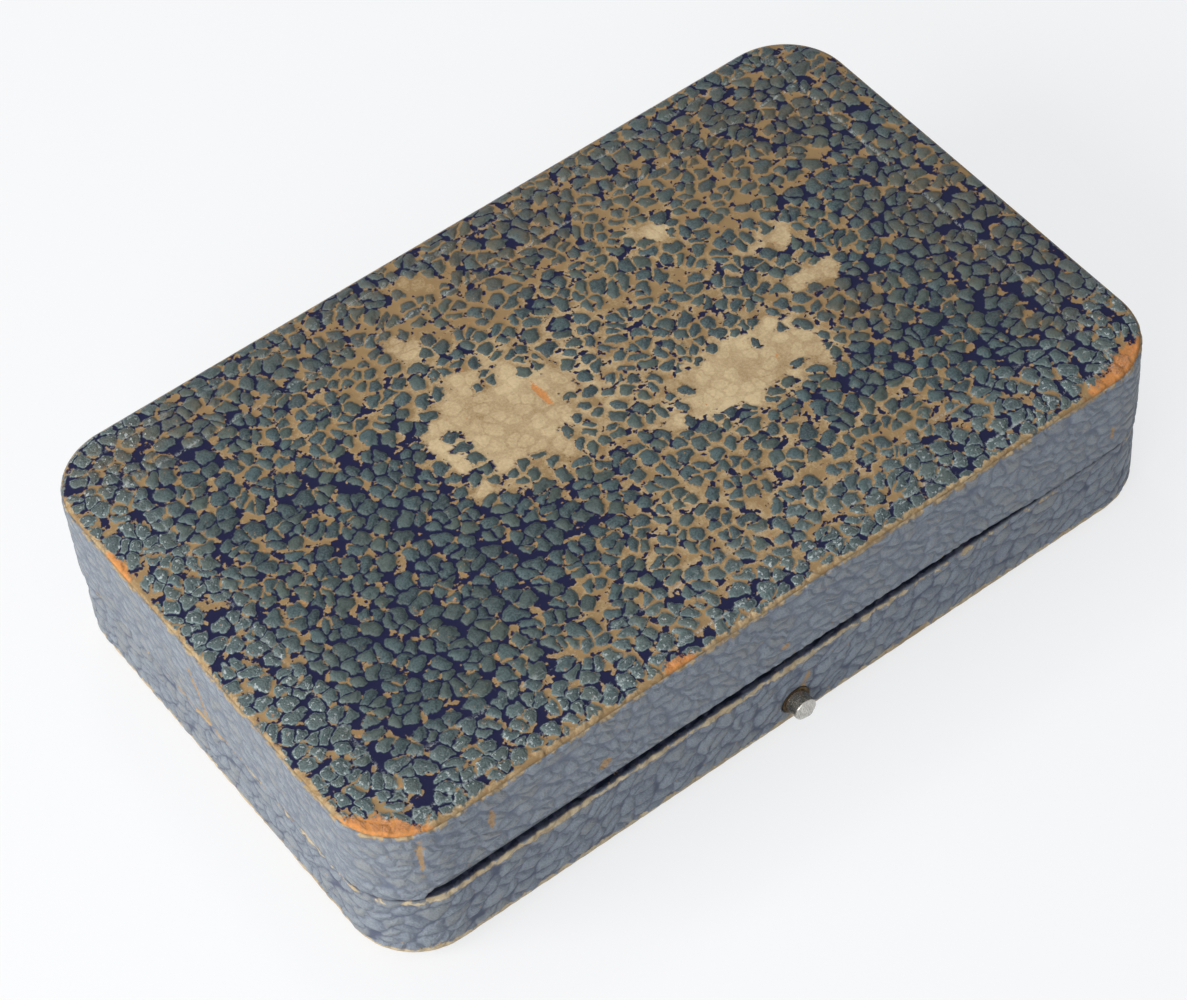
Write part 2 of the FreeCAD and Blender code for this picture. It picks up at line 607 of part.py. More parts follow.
def lid_pieces():
    """Every piece of the lid."""
    outer = case_prism(0.0, LID_RIM, LID_BOARD_TOP)
    outer = outer.makeFillet(ARRIS_ROUND, edges_at(outer, LID_RIM))
    wood = case_prism(SIDE_COVER, LID_RIM, LID_BOARD_TOP)
    wood = wood.cut([groove_cutter(SIDE_COVER), bevel_cutter(SIDE_COVER),
                     rim_rebate(0.0, LID_RIM, LID_RIM + SIDE_COVER)])
    mortises = leaf_mortises(LID_RIM, LID_RIM + LEAF)
    board = wood.common(box(-FAR, FAR, -FAR, FAR, LID_BOARD_UNDER, LID_BOARD_TOP))
    ring = wood.cut([board, hollow_block(0.0, LID_RIM, LID_BOARD_UNDER)])
    side = rails(ring)
    top = case_prism(TOP_COVER_INSET, LID_BOARD_TOP, LID_TOP)
    card_under = LID_BOARD_UNDER - PAD_CARD
    lining = hollow_block(0.0, LID_RIM + LINING_STEP, card_under)
    spots = hinge_screw_spots(LID_RIM)
    screw_holes = place_screws(spots, True, SCREW_CLEARANCE, False)
    keeper_holes = place_screws(keeper_screw_spots(), True, SCREW_CLEARANCE, False)
    pieces = {
        "lid_board": board,
        "lid_front_rail": side["front"].cut(keeper_room() + keeper_holes),
        "lid_back_rail": side["back"].cut(knuckle_room() + screw_holes + mortises),
        "lid_left_rail": side["left"],
        "lid_right_rail": side["right"],
        "lid_side_cover": outer.cut([wood, groove_cutter(0.0), bevel_cutter(0.0)]
                                    + knuckle_room() + mortises),
        "lid_top_cover": top.makeFillet(TOP_COVER_ROUND, edges_at(top, LID_TOP)),
        "lid_pad_card": hollow_block(PAD_CLEARANCE, card_under, LID_BOARD_UNDER),
        "lid_pad": lid_pad(),
        "lid_wall_lining": lining.cut(hollow_block(LINING, LID_RIM, LID_BOARD_UNDER)),
        "hinge_screws_lid": Part.makeCompound(place_screws(spots, True, 0.0, True)),
        "keeper_plate": keeper_plate(),
        "keeper_screws": Part.makeCompound(place_screws(keeper_screw_spots(), True, 0.0, True)),
    }
    for name, x in HINGES.items():
        pieces["hinge_leaf_lid_" + name] = hinge_leaf(x, True)
    return pieces


def main():
    """Write each piece to its own STEP file."""
    os.makedirs("parts", exist_ok=True)
    pieces = {**base_pieces(), **lid_pieces(), "push_button": push_button()}
    for name, shape in pieces.items():
        if not shape.isValid():
            raise ValueError(name + " is not a valid shape")
        shape.exportStep("parts/" + name + ".step")
        print(name, len(shape.Solids), "solids", round(shape.Volume, 3), "mm3")


main()
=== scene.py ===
"""A drafting instrument case: pebbled covering, fitted velvet tray, padded lid and metalwork.

Sizes in the classes are millimetres on the case, in the frame's own axes: the long side lies along X,
the button is in the front (-Y), the hinges are in the back (+Y). Meshes are made in metres.
"""
import logging
import math
from dataclasses import dataclass, replace
from enum import Enum
from typing import Optional, Union

import bmesh
import bpy
import numpy as np
from mathutils import Matrix, Vector


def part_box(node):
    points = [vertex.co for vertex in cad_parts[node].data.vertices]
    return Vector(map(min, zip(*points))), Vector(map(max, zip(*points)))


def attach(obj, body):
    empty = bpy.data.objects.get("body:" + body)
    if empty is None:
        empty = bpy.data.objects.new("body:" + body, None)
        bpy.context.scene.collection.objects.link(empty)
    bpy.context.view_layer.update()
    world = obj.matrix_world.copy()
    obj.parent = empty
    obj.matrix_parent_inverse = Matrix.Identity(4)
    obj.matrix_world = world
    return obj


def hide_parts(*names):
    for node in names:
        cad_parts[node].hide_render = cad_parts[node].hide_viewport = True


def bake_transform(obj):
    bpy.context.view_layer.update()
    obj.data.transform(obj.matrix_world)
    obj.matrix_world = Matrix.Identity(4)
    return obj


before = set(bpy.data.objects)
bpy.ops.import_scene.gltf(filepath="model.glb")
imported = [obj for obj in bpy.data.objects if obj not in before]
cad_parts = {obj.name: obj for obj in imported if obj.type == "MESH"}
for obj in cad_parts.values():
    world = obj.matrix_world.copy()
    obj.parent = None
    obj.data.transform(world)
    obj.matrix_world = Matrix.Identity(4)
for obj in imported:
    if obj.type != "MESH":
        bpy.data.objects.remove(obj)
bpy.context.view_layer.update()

MM = 0.001
WELD = 1e-6                     # metres within which points are one
QUARTER = math.pi / 2
LOG = logging.getLogger("instrument_case")

Scalar = Union[float, "Field"]
Colour = tuple[float, float, float, float]
Span = tuple[float, float]


def tint(red: int, green: int, blue: int) -> Colour:
    """A colour in the linear values that shaders take, from its screen values of 0 to 255."""
    shares = [value / 255 for value in (red, green, blue)]
    return (*[s / 12.92 if s <= 0.04045 else ((s + 0.055) / 1.055) ** 2.4 for s in shares], 1.0)


def smooth(values: np.ndarray, low: float, high: float) -> np.ndarray:
    """Smooth step from 0 at low to 1 at high."""
    share = np.clip((np.asarray(values, float) - low) / (high - low), 0.0, 1.0)
    return share * share * (3 - 2 * share)


def hump(values: np.ndarray, reach: float) -> np.ndarray:
    """A smooth hump: 1 at 0, falling away over a reach on both sides."""
    return np.exp(-(values / reach) ** 2)


class Field:
    """A value that changes over a surface: a socket with arithmetic, which adds Math nodes."""

    def __init__(self, pad: "NodePad", socket: bpy.types.NodeSocket) -> None:
        """Keep the socket and the pad that adds nodes beside it."""
        self.pad = pad
        self.socket = socket

    def __add__(self, other: Scalar) -> "Field":
        """Sum."""
        return self.pad.math("ADD", self, other)

    __radd__ = __add__

    def __sub__(self, other: Scalar) -> "Field":
        """Difference."""
        return self.pad.math("SUBTRACT", self, other)

    def __rsub__(self, other: Scalar) -> "Field":
        """Difference from a number."""
        return self.pad.math("SUBTRACT", other, self)

    def __mul__(self, other: Scalar) -> "Field":
        """Product."""
        return self.pad.math("MULTIPLY", self, other)

    __rmul__ = __mul__

    def __truediv__(self, other: Scalar) -> "Field":
        """Quotient."""
        return self.pad.math("DIVIDE", self, other)

    def __pow__(self, other: Scalar) -> "Field":
        """Power."""
        return self.pad.math("POWER", self, other)

    def __abs__(self) -> "Field":
        """Distance from 0."""
        return self.pad.math("ABSOLUTE", self)

    def at_least(self, other: Scalar) -> "Field":
        """The greater of two values."""
        return self.pad.math("MAXIMUM", self, other)

    def step(self, low: Scalar, high: Scalar) -> "Field":
        """Smooth step from 0 at low to 1 at high."""
        return self.pad.add("ShaderNodeMapRange", {"interpolation_type": "SMOOTHSTEP"},
                            {"Value": self, "From Min": low, "From Max": high})

    def sibling(self, name: str) -> "Field":
        """Another output of the same node."""
        return Field(self.pad, self.socket.node.outputs[name])

    def parts(self) -> tuple["Field", "Field", "Field"]:
        """The X, Y and Z of a vector."""
        first = self.pad.add("ShaderNodeSeparateXYZ", {}, {"Vector": self})
        return first, first.sibling("Y"), first.sibling("Z")


class NodePad:
    """Adds nodes to one tree."""

    def __init__(self, tree: bpy.types.NodeTree) -> None:
        """Keep the tree."""
        self.tree = tree

    def add(self, kind: str, settings: dict[str, object], inputs: dict[Union[str, int], object],
            output: Optional[str] = None) -> Field:
        """Add one node.

        Args:
            kind: The node's type.
            settings: Properties, set first, because they decide which sockets the node has.
            inputs: Values or fields for the sockets, by name or by place.
            output: Name of the output wanted, or None for the first.

        Returns:
            The field at that output.
        """
        node = self.tree.nodes.new(kind)
        for name, value in settings.items():
            setattr(node, name, value)
        open_inputs = [socket for socket in node.inputs if socket.enabled]
        for key, value in inputs.items():
            socket = open_inputs[key] if isinstance(key, int) else next(
                candidate for candidate in open_inputs if candidate.name == key)
            if isinstance(value, Field):
                self.tree.links.new(value.socket, socket)
            else:
                socket.default_value = value
        outputs = [socket for socket in node.outputs if socket.enabled]
        chosen = next(s for s in outputs if output in (None, s.name)) if outputs else None
        return Field(self, chosen)

    def math(self, operation: str, *values: Scalar) -> Field:
        """A Math node of that operation on those values."""
        return self.add("ShaderNodeMath", {"operation": operation}, dict(enumerate(values)))

    def vector(self, x: Scalar, y: Scalar) -> Field:
        """A flat vector from its parts."""
        return self.add("ShaderNodeCombineXYZ", {}, {"X": x, "Y": y})

    def times(self, where: Field, shares: tuple[float, float, float]) -> Field:
        """A vector with each part multiplied by its own number."""
        return self.add("ShaderNodeVectorMath", {"operation": "MULTIPLY"}, {0: where, 1: shares})

    def mix(self, share: Scalar, first: object, second: object) -> Field:
        """A colour between two, by a share that is kept from 0 to 1."""
        return self.add("ShaderNodeMix", {"data_type": "RGBA"},
                        {"Factor": share, "A": first, "B": second})

    def noise(self, where: Field, waves: float, detail: float = 2.0, rough: float = 0.5,
              solid: bool = False) -> Field:
        """Smooth noise from 0 to 1, with so many waves to a unit, that is flat or fills space."""
        return self.add("ShaderNodeTexNoise", {"noise_dimensions": "3D" if solid else "2D"},
                        {"Vector": where, "Scale": waves, "Detail": detail, "Roughness": rough})

    def voronoi(self, where: Field, feature: str) -> Field:
        """Distance in a pattern of irregular cells, one to each unit of the coordinates."""
        return self.add("ShaderNodeTexVoronoi", {"voronoi_dimensions": "2D", "feature": feature},
                        {"Vector": where, "Scale": 1.0, "Randomness": 0.9}, "Distance")


class SurfacePad(NodePad):
    """Adds the nodes of one material."""

    def __init__(self, name: str) -> None:
        """Make an empty material of that name."""
        self.material = bpy.data.materials.new(name)
        self.material.use_nodes = True
        self.material.node_tree.nodes.clear()
        super().__init__(self.material.node_tree)

    def read(self, name: str, output: str = "Fac") -> Field:
        """A number, or with the output Vector a vector, that the mesh carries at its points."""
        return self.add("ShaderNodeAttribute", {"attribute_name": name}, {}, output)

    def place(self) -> Field:
        """The place in the case, in millimetres."""
        metres = self.add("ShaderNodeTexCoord", {}, {}, "Object")
        return self.add("ShaderNodeVectorMath", {"operation": "SCALE"},
                        {"Vector": metres, "Scale": 1 / MM})

    def bump(self, height: Field, depth: float) -> Field:
        """A surface normal from a height, of which 1 stands for a depth in millimetres."""
        return self.add("ShaderNodeBump", {}, {"Strength": 1.0, "Distance": depth * MM, "Height": height})

    def finish(self, **sockets: object) -> bpy.types.Material:
        """End in a Principled shader.

        Args:
            sockets: Values or fields by socket name, with _ for each space.

        Returns:
            The material.
        """
        named = {name.replace("_", " "): value for name, value in sockets.items()}
        shader = self.add("ShaderNodeBsdfPrincipled", {}, named)
        self.add("ShaderNodeOutputMaterial", {}, {"Surface": shader})
        return self.material


class MeshPad(NodePad):
    """Adds the nodes of one Geometry Nodes tree."""

    def __init__(self, name: str) -> None:
        """Make an empty tree of that name, with its input node."""
        super().__init__(bpy.data.node_groups.new(name, "GeometryNodeTree"))
        self.entry = self.tree.nodes.new("NodeGroupInput")

    def input(self, name: str, kind: str = "Float") -> Field:
        """A named input of the tree."""
        self.tree.interface.new_socket(name, in_out="INPUT", socket_type="NodeSocket" + kind)
        return Field(self, self.entry.outputs[name])

    def output(self, geometry: Field) -> None:
        """The tree's result."""
        self.tree.interface.new_socket("Result", in_out="OUTPUT", socket_type="NodeSocketGeometry")
        self.add("NodeGroupOutput", {}, {"Result": geometry})

    def read(self, name: str, kind: str = "FLOAT") -> Field:
        """A number, or with the kind FLOAT_VECTOR a vector, that the mesh carries at its points."""
        return self.add("GeometryNodeInputNamedAttribute", {"data_type": kind}, {"Name": name}, "Attribute")

    def store(self, geometry: Field, name: str, value: Scalar) -> Field:
        """Leave a number on the points of a mesh, and pass the mesh on."""
        return self.add("GeometryNodeStoreNamedAttribute", {"data_type": "FLOAT", "domain": "POINT"},
                        {"Geometry": geometry, "Name": name, "Value": value})


def link(name: str, data: bpy.types.ID) -> bpy.types.Object:
    """Put a mesh, a lamp or a camera in the scene.

    Args:
        name: The object's name.
        data: What it shows.

    Returns:
        The object, at the origin.
    """
    thing = bpy.data.objects.new(name, data)
    bpy.context.scene.collection.objects.link(thing)
    return thing


def cast(name: str, form: bmesh.types.BMesh) -> bpy.types.Object:
    """Turn a finished form into an object, and free the form.

    Args:
        name: The piece's name.
        form: The form, in metres.

    Returns:
        The object, in the scene.
    """
    mesh = bpy.data.meshes.new(name)
    form.to_mesh(mesh)
    form.free()
    return link(name, mesh)


def mesh_piece(name: str, points: np.ndarray, faces: list, **carried: np.ndarray) -> bpy.types.Object:
    """A mesh object whose points are given in millimetres.

    Args:
        name: The piece's name.
        points: One row of three for each point.
        faces: Point indices of each face, outward side out.
        carried: Numbers or vectors that the points carry, by name.

    Returns:
        The object, in the scene.
    """
    mesh = bpy.data.meshes.new(name)
    mesh.from_pydata((np.asarray(points, float) * MM).tolist(), [], faces)
    for label, values in carried.items():
        flat = np.asarray(values, np.float32)
        kind, key = ("FLOAT_VECTOR", "vector") if flat.ndim == 2 else ("FLOAT", "value")
        mesh.attributes.new(label, kind, "POINT").data.foreach_set(key, flat.ravel())
    mesh.shade_smooth()
    return link(name, mesh)


def places(mesh: bpy.types.Mesh) -> np.ndarray:
    """Where a mesh's points lie, one row each."""
    return np.array([vertex.co for vertex in mesh.vertices])


def move(mesh: bpy.types.Mesh, points: np.ndarray) -> None:
    """Put a mesh's points where the rows say."""
    mesh.vertices.foreach_set("co", points.astype(np.float32).ravel())


def settle(piece: bpy.types.Object) -> bpy.types.Object:
    """Bake a piece's modifiers into its mesh.

    Args:
        piece: The piece.

    Returns:
        The same piece, with a plain mesh.
    """
    graph = bpy.context.evaluated_depsgraph_get()
    mesh = bpy.data.meshes.new_from_object(piece.evaluated_get(graph), preserve_all_data_layers=True,
                                           depsgraph=graph)
    piece.modifiers.clear()
    piece.data = mesh
    mesh.name = piece.name
    return piece


def grid_faces(rows: int, columns: int, flip: bool = False) -> np.ndarray:
    """Quads between the points of a grid that is stored row by row.

    Args:
        rows: Rows of points.
        columns: Points in each row.
        flip: Whether the other side is the outward one.

    Returns:
        The quads, four point indices each.
    """
    corner = np.arange(rows * columns).reshape(rows, columns)
    loops = [corner[:-1, :-1], corner[1:, :-1], corner[1:, 1:], corner[:-1, 1:]]
    return np.stack(loops[::-1] if flip else loops, axis=-1).reshape(-1, 4)


def corners(node: str) -> tuple[Vector, Vector]:
    """A CAD node's lowest and highest corners, in millimetres."""
    low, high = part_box(node)
    return low / MM, high / MM


def report(piece: bpy.types.Object, body: str, slot: str, *nodes: str) -> bpy.types.Object:
    """Hang a finished piece on its body and log it.

    Args:
        piece: The piece.
        body: The body that it rides on.
        slot: The record's material slot; not used.
        nodes: The nodes that it stands for.

    Returns:
        The piece.
    """
    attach(piece, body)
    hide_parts(*nodes)
    LOG.info("%s: %d faces on %s", piece.name, len(piece.data.polygons), body)
    return piece


@dataclass(frozen=True)
class Outline:
    """A rectangle with round corners, seen from above."""

    half_length: float
    half_width: float
    radius: float

    @property
    def flat(self) -> Span:
        """Half the straight stretches, along X and along Y."""
        return self.half_length - self.radius, self.half_width - self.radius

    def inset(self, by: float) -> "Outline":
        """The same outline drawn in."""
        return Outline(self.half_length - by, self.half_width - by, self.radius - by)

    def core(self, x: np.ndarray, y: np.ndarray) -> tuple[np.ndarray, np.ndarray]:
        """The way along X and along Y from the nearest point of the rectangle of corner centres."""
        flat_x, flat_y = self.flat
        return x - np.clip(x, -flat_x, flat_x), y - np.clip(y, -flat_y, flat_y)

    def depth(self, x: np.ndarray, y: np.ndarray) -> np.ndarray:
        """How far points lie in from the outline.

        Args:
            x: Places along X.
            y: Places along Y.

        Returns:
            The depths, below 0 outside.
        """
        flat_x, flat_y = self.flat
        box_x, box_y = np.abs(x) - flat_x, np.abs(y) - flat_y
        outside = np.hypot(np.maximum(box_x, 0), np.maximum(box_y, 0))
        return self.radius - outside - np.minimum(np.maximum(box_x, box_y), 0)

    def half_at(self, y: np.ndarray) -> np.ndarray:
        """Half the length of the outline at places along Y."""
        past = np.clip(np.abs(y) - self.flat[1], 0, self.radius)
        return self.flat[0] + np.sqrt(self.radius ** 2 - past ** 2)

    def trace(self, step: float) -> tuple[np.ndarray, np.ndarray, np.ndarray]:
        """Walk round from the middle of the back, by the left end, the front and the right end.

        Args:
            step: About how far apart the points are.

        Returns:
            The points, their outward directions, and their distances along from the front's middle.
        """
        x, y = self.flat
        starts = np.array([(0, y), (-x, y), (-x, -y), (x, -y), (x, y)])
        straights = np.array([x, 2 * y, 2 * x, 2 * y, x])
        lengths = straights + self.radius * QUARTER
        before = np.cumsum(lengths) - lengths
        total = before[-1] + straights[-1]
        ways = np.linspace(0.0, total, int(total / step))
        side = np.searchsorted(before, ways, "right") - 1
        run = ways - before[side]
        facing = QUARTER * (side + 1)
        heading = np.stack([-np.sin(facing), np.cos(facing)], axis=1)
        angle = facing + np.maximum(run - straights[side], 0) / self.radius
        outward = np.stack([np.cos(angle), np.sin(angle)], axis=1)
        straight = np.minimum(run, straights[side])[:, None]
        return starts[side] + heading * straight + outward * self.radius, outward, ways - total / 2


@dataclass(frozen=True)
class Patch:
    """An oval spot on a covering that is laid out flat."""

    along: float
    across: float
    half_along: float
    half_across: float
    turn: float = 0.0           # degrees

    def inside(self, along: Field, across: Field) -> Field:
        """How far inside the spot a place lies.

        Args:
            along: Places along the covering.
            across: Places across it.

        Returns:
            1 in the middle, 0 on the rim.
        """
        cos, sin = math.cos(math.radians(self.turn)), math.sin(math.radians(self.turn))
        way_along, way_across = along - self.along, across - self.across
        long = (way_along * cos + way_across * sin) / self.half_along
        short = (way_across * cos - way_along * sin) / self.half_across
        return 1 - (long * long + short * short) ** 0.5


NOWHERE = Patch(0.0, 999.0, 1.0, 1.0)


@dataclass(frozen=True)
class Wear:
    """Where a covering is worn, as spots on the flat covering."""

    bare: tuple[Patch, ...] = (NOWHERE,)
    worn: tuple[Patch, ...] = (NOWHERE,)
    kept: tuple[Patch, ...] = (NOWHERE,)
    core: tuple[Patch, ...] = (NOWHERE,)
    stain: tuple[Patch, ...] = (NOWHERE,)


@dataclass(frozen=True)
class LeatherFinish:
    """The colours and the grain of a pebbled covering."""

    pebble: Colour
    pebble_pale: Colour
    pebble_green: Colour        # of the pebbles that have yellowed
    pebble_rim_and_sheen: Colour          # where a pebble's edge is rubbed, also as a painted rim highlight and painted sheen
    pebble_unfaded_shaded: Colour        # in the gap: its unfaded colour, painted darker as shade
    groove: Colour
    # the grooves in the gap: unfaded colour, painted darker as shade
    groove_unfaded_shaded: Colour
    ground: Colour
    ground_dark: Colour
    core: Colour
    stain: Colour
    glint: Colour               # painted highlight along tooled lines, and of the painted sparkles on polished pebbles
    size: float                 # between pebbles
    rounding: float             # of the pebbles' corners
    gap: float                  # half the width of a groove
    gap_worn: float             # what wear adds to it
    uneven: float               # how much the grooves' widths differ
    fray: float                 # raggedness of the pebbles' outlines
    soft: float                 # blur of the pebbles' outlines
    rise: float                 # of the pebbles over the grooves
    bump: float                 # of the finer relief
    flank: float                # width of a pebble's slope, as a share of its size
    tan_level: float            # share of grooves that are worn pale
    dull: float                 # roughness of the coat
    glossy: float               # roughness where the coat is polished
    stretch: float = 1.0        # of the pebbles along the covering
    slant: float = 0.0          # lean of the pebbles
    gap_thin: float = 0.0       # what is added to a groove round a bare spot
    eaten: float = 0.0          # how deep small worn spots eat into the pebbles
    edge_age: float = 0.0       # how much darker the ground is along rubbed edges
    spark: float = 0.0          # strength of the painted sparkles on the polished coat
    sheen: float = 0.0          # painted sheen: how much paler the polished coat is painted


@dataclass(frozen=True)
class Pebbles:
    """The fields of one pebbled surface."""

    inside: Field               # millimetres in from a pebble's outline
    tone: Field                 # a number of each pebble's own
    hue: Field                  # another one
    along: Field                # the pebble's middle
    across: Field


def pebbles(pad: NodePad, wrap: Field, size: Scalar, stretch: Scalar, slant: Scalar,
            rounding: Scalar = 0.0) -> Pebbles:
    """Irregular pebbles with rounded corners.

    Args:
        pad: Where the nodes go: a material or a Geometry Nodes tree.
        wrap: The place on the flat covering, in millimetres.
        size: Distance between pebbles.
        stretch: How much longer they are along the covering.
        slant: How much they lean.
        rounding: How far their corners are rounded off, from 0 to 1.

    Returns:
        The fields.
    """
    along, across, _ = wrap.parts()
    sway_along, sway_across, _ = pad.noise(wrap, 0.4, 2.0, 0.5).sibling("Color").parts()
    drift_along, drift_across, _ = pad.noise(wrap, 0.07, 1.0).sibling("Color").parts()
    wobble, swell = 1.8, 3.0
    moved_along = along + (sway_along - 0.5) * wobble + (drift_along - 0.5) * swell
    moved_across = across + (sway_across - 0.5) * wobble + (drift_across - 0.5) * swell
    cell = pad.vector((moved_along + moved_across * slant) / (stretch * size), moved_across / size)
    near = pad.voronoi(cell, "F1")
    rim = pad.voronoi(cell, "DISTANCE_TO_EDGE")
    corner = (0.71 - rounding * 0.2 - near) * 0.9
    inside = pad.math("SMOOTH_MIN", rim, corner, 0.2)
    middle_along, middle_across, _ = near.sibling("Position").parts()
    tone, hue, _ = near.sibling("Color").parts()
    middle = middle_across * size
    return Pebbles(inside * size, tone, hue, middle_along * (stretch * size) - middle * slant, middle)


def deepest(spots: tuple[Patch, ...], along: Field, across: Field) -> Field:
    """How far inside the nearest of several spots a place lies.

    Args:
        spots: The spots.
        along: Places along the covering.
        across: Places across it.

    Returns:
        Below 0 outside all of them.
    """
    found = spots[0].inside(along, across)
    for spot in spots[1:]:
        found = found.at_least(spot.inside(along, across))
    return found


@dataclass
class Covering:
    """A pebbled covering that is embossed by Geometry Nodes and dressed with its wear."""

    name: str
    node: str
    body: str
    slot: str
    finish: LeatherFinish
    wear: Wear

    def rounding(self, worn: Field, thin: Field, unworn: Scalar) -> Field:
        """How far the pebbles' corners are rounded: further where they are worn."""
        return (worn.at_least(0.0) + thin) * 0.3 + unworn

    def relief(self) -> MeshPad:
        """The tree that raises the pebbles and leaves the worn spots on the points.

        Returns:
            The pad of the finished tree.
        """
        pad = MeshPad(self.name + "_relief")
        sheet = pad.input("Sheet", "Geometry")
        size, stretch, slant, rise, gap, rounding = (pad.input(name) for name in (
            "Pebble size", "Stretch", "Slant", "Rise", "Groove", "Rounding"))
        material = pad.input("Covering", "Material")
        wrap = pad.read("wrap", "FLOAT_VECTOR")
        along, across, _ = wrap.parts()
        worn, kept, core, stain, thin = (deepest(spots, along, across) for spots in (
            self.wear.worn, self.wear.kept, self.wear.core, self.wear.stain, self.wear.bare))
        worn = worn.step(-0.3, 0.6) - kept.step(-0.4, 0.5)
        thin = thin.step(-0.9, 0.1)
        grain = pebbles(pad, wrap, size, stretch, slant, self.rounding(worn, thin, rounding))
        lottery = (grain.tone - 0.5) * 0.8
        bare = deepest(self.wear.bare, grain.along, grain.across) + lottery
        masks = {"bare": pad.math("GREATER_THAN", bare, 0.0), "worn": worn, "thin": thin,
                 "core": core.step(-0.5, 0.6), "stain": stain.step(-0.3, 0.8)}
        dome = (grain.inside - gap - thin * 0.2).step(-0.12, size * 0.26) * (1 - masks["bare"])
        ripple = pad.noise(wrap, 0.35) - 0.5
        height = (dome * rise + ripple * 0.06) * (1 - masks["core"] * 0.7) - masks["core"] * 0.06
        lift = height * pad.read("level") - pad.read("tooling") * rise * 0.9
        normal = pad.add("GeometryNodeInputNormal", {}, {})
        offset = pad.add("ShaderNodeVectorMath", {"operation": "SCALE"},
                         {"Vector": normal, "Scale": lift * MM})
        for name, value in masks.items():
            sheet = pad.store(sheet, name, value)
        sheet = pad.add("GeometryNodeSetPosition", {}, {"Geometry": sheet, "Offset": offset})
        sheet = pad.add("GeometryNodeRealizeInstances", {}, {"Geometry": sheet})
        sheet = pad.add("GeometryNodeSetMaterial", {}, {"Geometry": sheet, "Material": material})
        pad.output(sheet)
        return pad

    def dress(self) -> bpy.types.Material:
        """The covering's material: coat on the pebbles, dark or worn grooves, bare spots and bare edges.

        Returns:
            The material.
        """
        look = self.finish
        pad = SurfacePad(self.name + "_worn")
        wrap = pad.read("wrap", "Vector")
        bare, worn, core, stain, thin, rub, gloss, tooling, fresh = (pad.read(name) for name in (
            "bare", "worn", "core", "stain", "thin", "rub", "gloss", "tooling", "fresh"))
        scoured = worn.at_least(0.0)
        grain = pebbles(pad, wrap, look.size, look.stretch, look.slant,
                        self.rounding(worn, thin, look.rounding))
        # Noises around 0, from stretches of the covering down to single fibres
        cloud, grit, fray, fibres, fine = (pad.noise(wrap, *kind) - 0.5 for kind in (
            (0.13, 3.0, 0.6), (0.46, 2.0, 0.55), (1.15, 3.0, 0.6), (2.6, 6.0, 0.75), (4.0, 4.0, 0.6)))
        specks = pad.noise(wrap, 0.9).step(0.63, 0.68)
        # Spots for the painted sparkles on polished pebbles
        sparkle_spots = pad.noise(wrap, 1.7, 3.0, 0.6).step(0.61, 0.67)
        # Outlines of the pebbles, and where the coat is gone
        eaten = (worn * 0.1 + grit + cloud * 0.4).at_least(0.0) * look.eaten
        width = scoured * look.gap_worn + thin * look.gap_thin + look.gap
        width = width * (1 + (grain.tone - 0.5) * look.uneven) + eaten
        inside = grain.inside + fray * look.fray - width
        island = inside.step(-look.soft, look.soft)
        rubbed = (rub + cloud * 0.7 + grit * 1.1 + fray * 0.9 - island * 0.1).step(0.42, 0.66)
        bared = rubbed.at_least(bare)
        coat = island * (1 - bared)
        dome = inside.step(-0.15, look.size * look.flank) * (1 - bare * 0.9)
        # Grooves, dark or worn down to the ground
        tanned = worn * 0.2 + scoured * 0.16 + thin * 0.4 + cloud * 1.1 + grit * 2.4 + fray * 0.7
        tanned = (tanned + look.tan_level).step(0.2, 0.32)
        crackle = 1 - (grain.inside + fray * 0.2).step(0.0, 0.25)
        aged = fibres * 1.3 + crackle * 0.25 + stain * 0.6 + cloud * 1.3 + rub * look.edge_age + 0.25
        aged = aged + (1 - bared) * (inside.step(-0.35, -0.02) * 0.2 + grit * 1.6 + 0.26 - thin * 0.2)
        ground = pad.mix(aged, look.ground, look.ground_dark)
        floor = pad.mix((tanned * (1 - specks)).at_least(bared), look.groove, ground)
        # Coat, with its own tone on each pebble, rubbed rims with a painted rim highlight, painted sheen
        # where polished, and stains
        # dome * 0.4: painted light and shade, each pebble paler on its raised middle and darker at its edge
        tone = (grain.tone - 0.5) * 0.6 + fine * 2.8 + fray * 0.7 + dome * 0.4 + 0.2
        coated = pad.mix(tone, look.pebble, look.pebble_pale)
        coated = pad.mix((grain.hue - 0.4) * 0.9, coated, look.pebble_green)
        # Pale rims: partly rubbed edges, partly a painted highlight; gloss times sheen is a painted sheen
        rim = inside.step(-0.02, 0.1) * (1 - inside.step(0.1, 0.3))
        rim_rub_and_painted_sheen = rim * (gloss * 0.5 + 0.15) * (fray * 2.0 + 0.8) + gloss * look.sheen
        coated = pad.mix(rim_rub_and_painted_sheen, coated, look.pebble_rim_and_sheen)
        coated = pad.mix(stain * (grit * 1.4 + 0.4) + fray * 0.3, coated, look.stain)
        skin = pad.mix(coat, floor, coated)
        # The rims in the gap between lid and base (fresh): unfaded colour, painted darker as shade
        deep = pad.mix(inside.step(-0.1, 0.12), look.groove_unfaded_shaded, look.pebble_unfaded_shaded)
        skin = pad.mix(fresh, skin, deep)
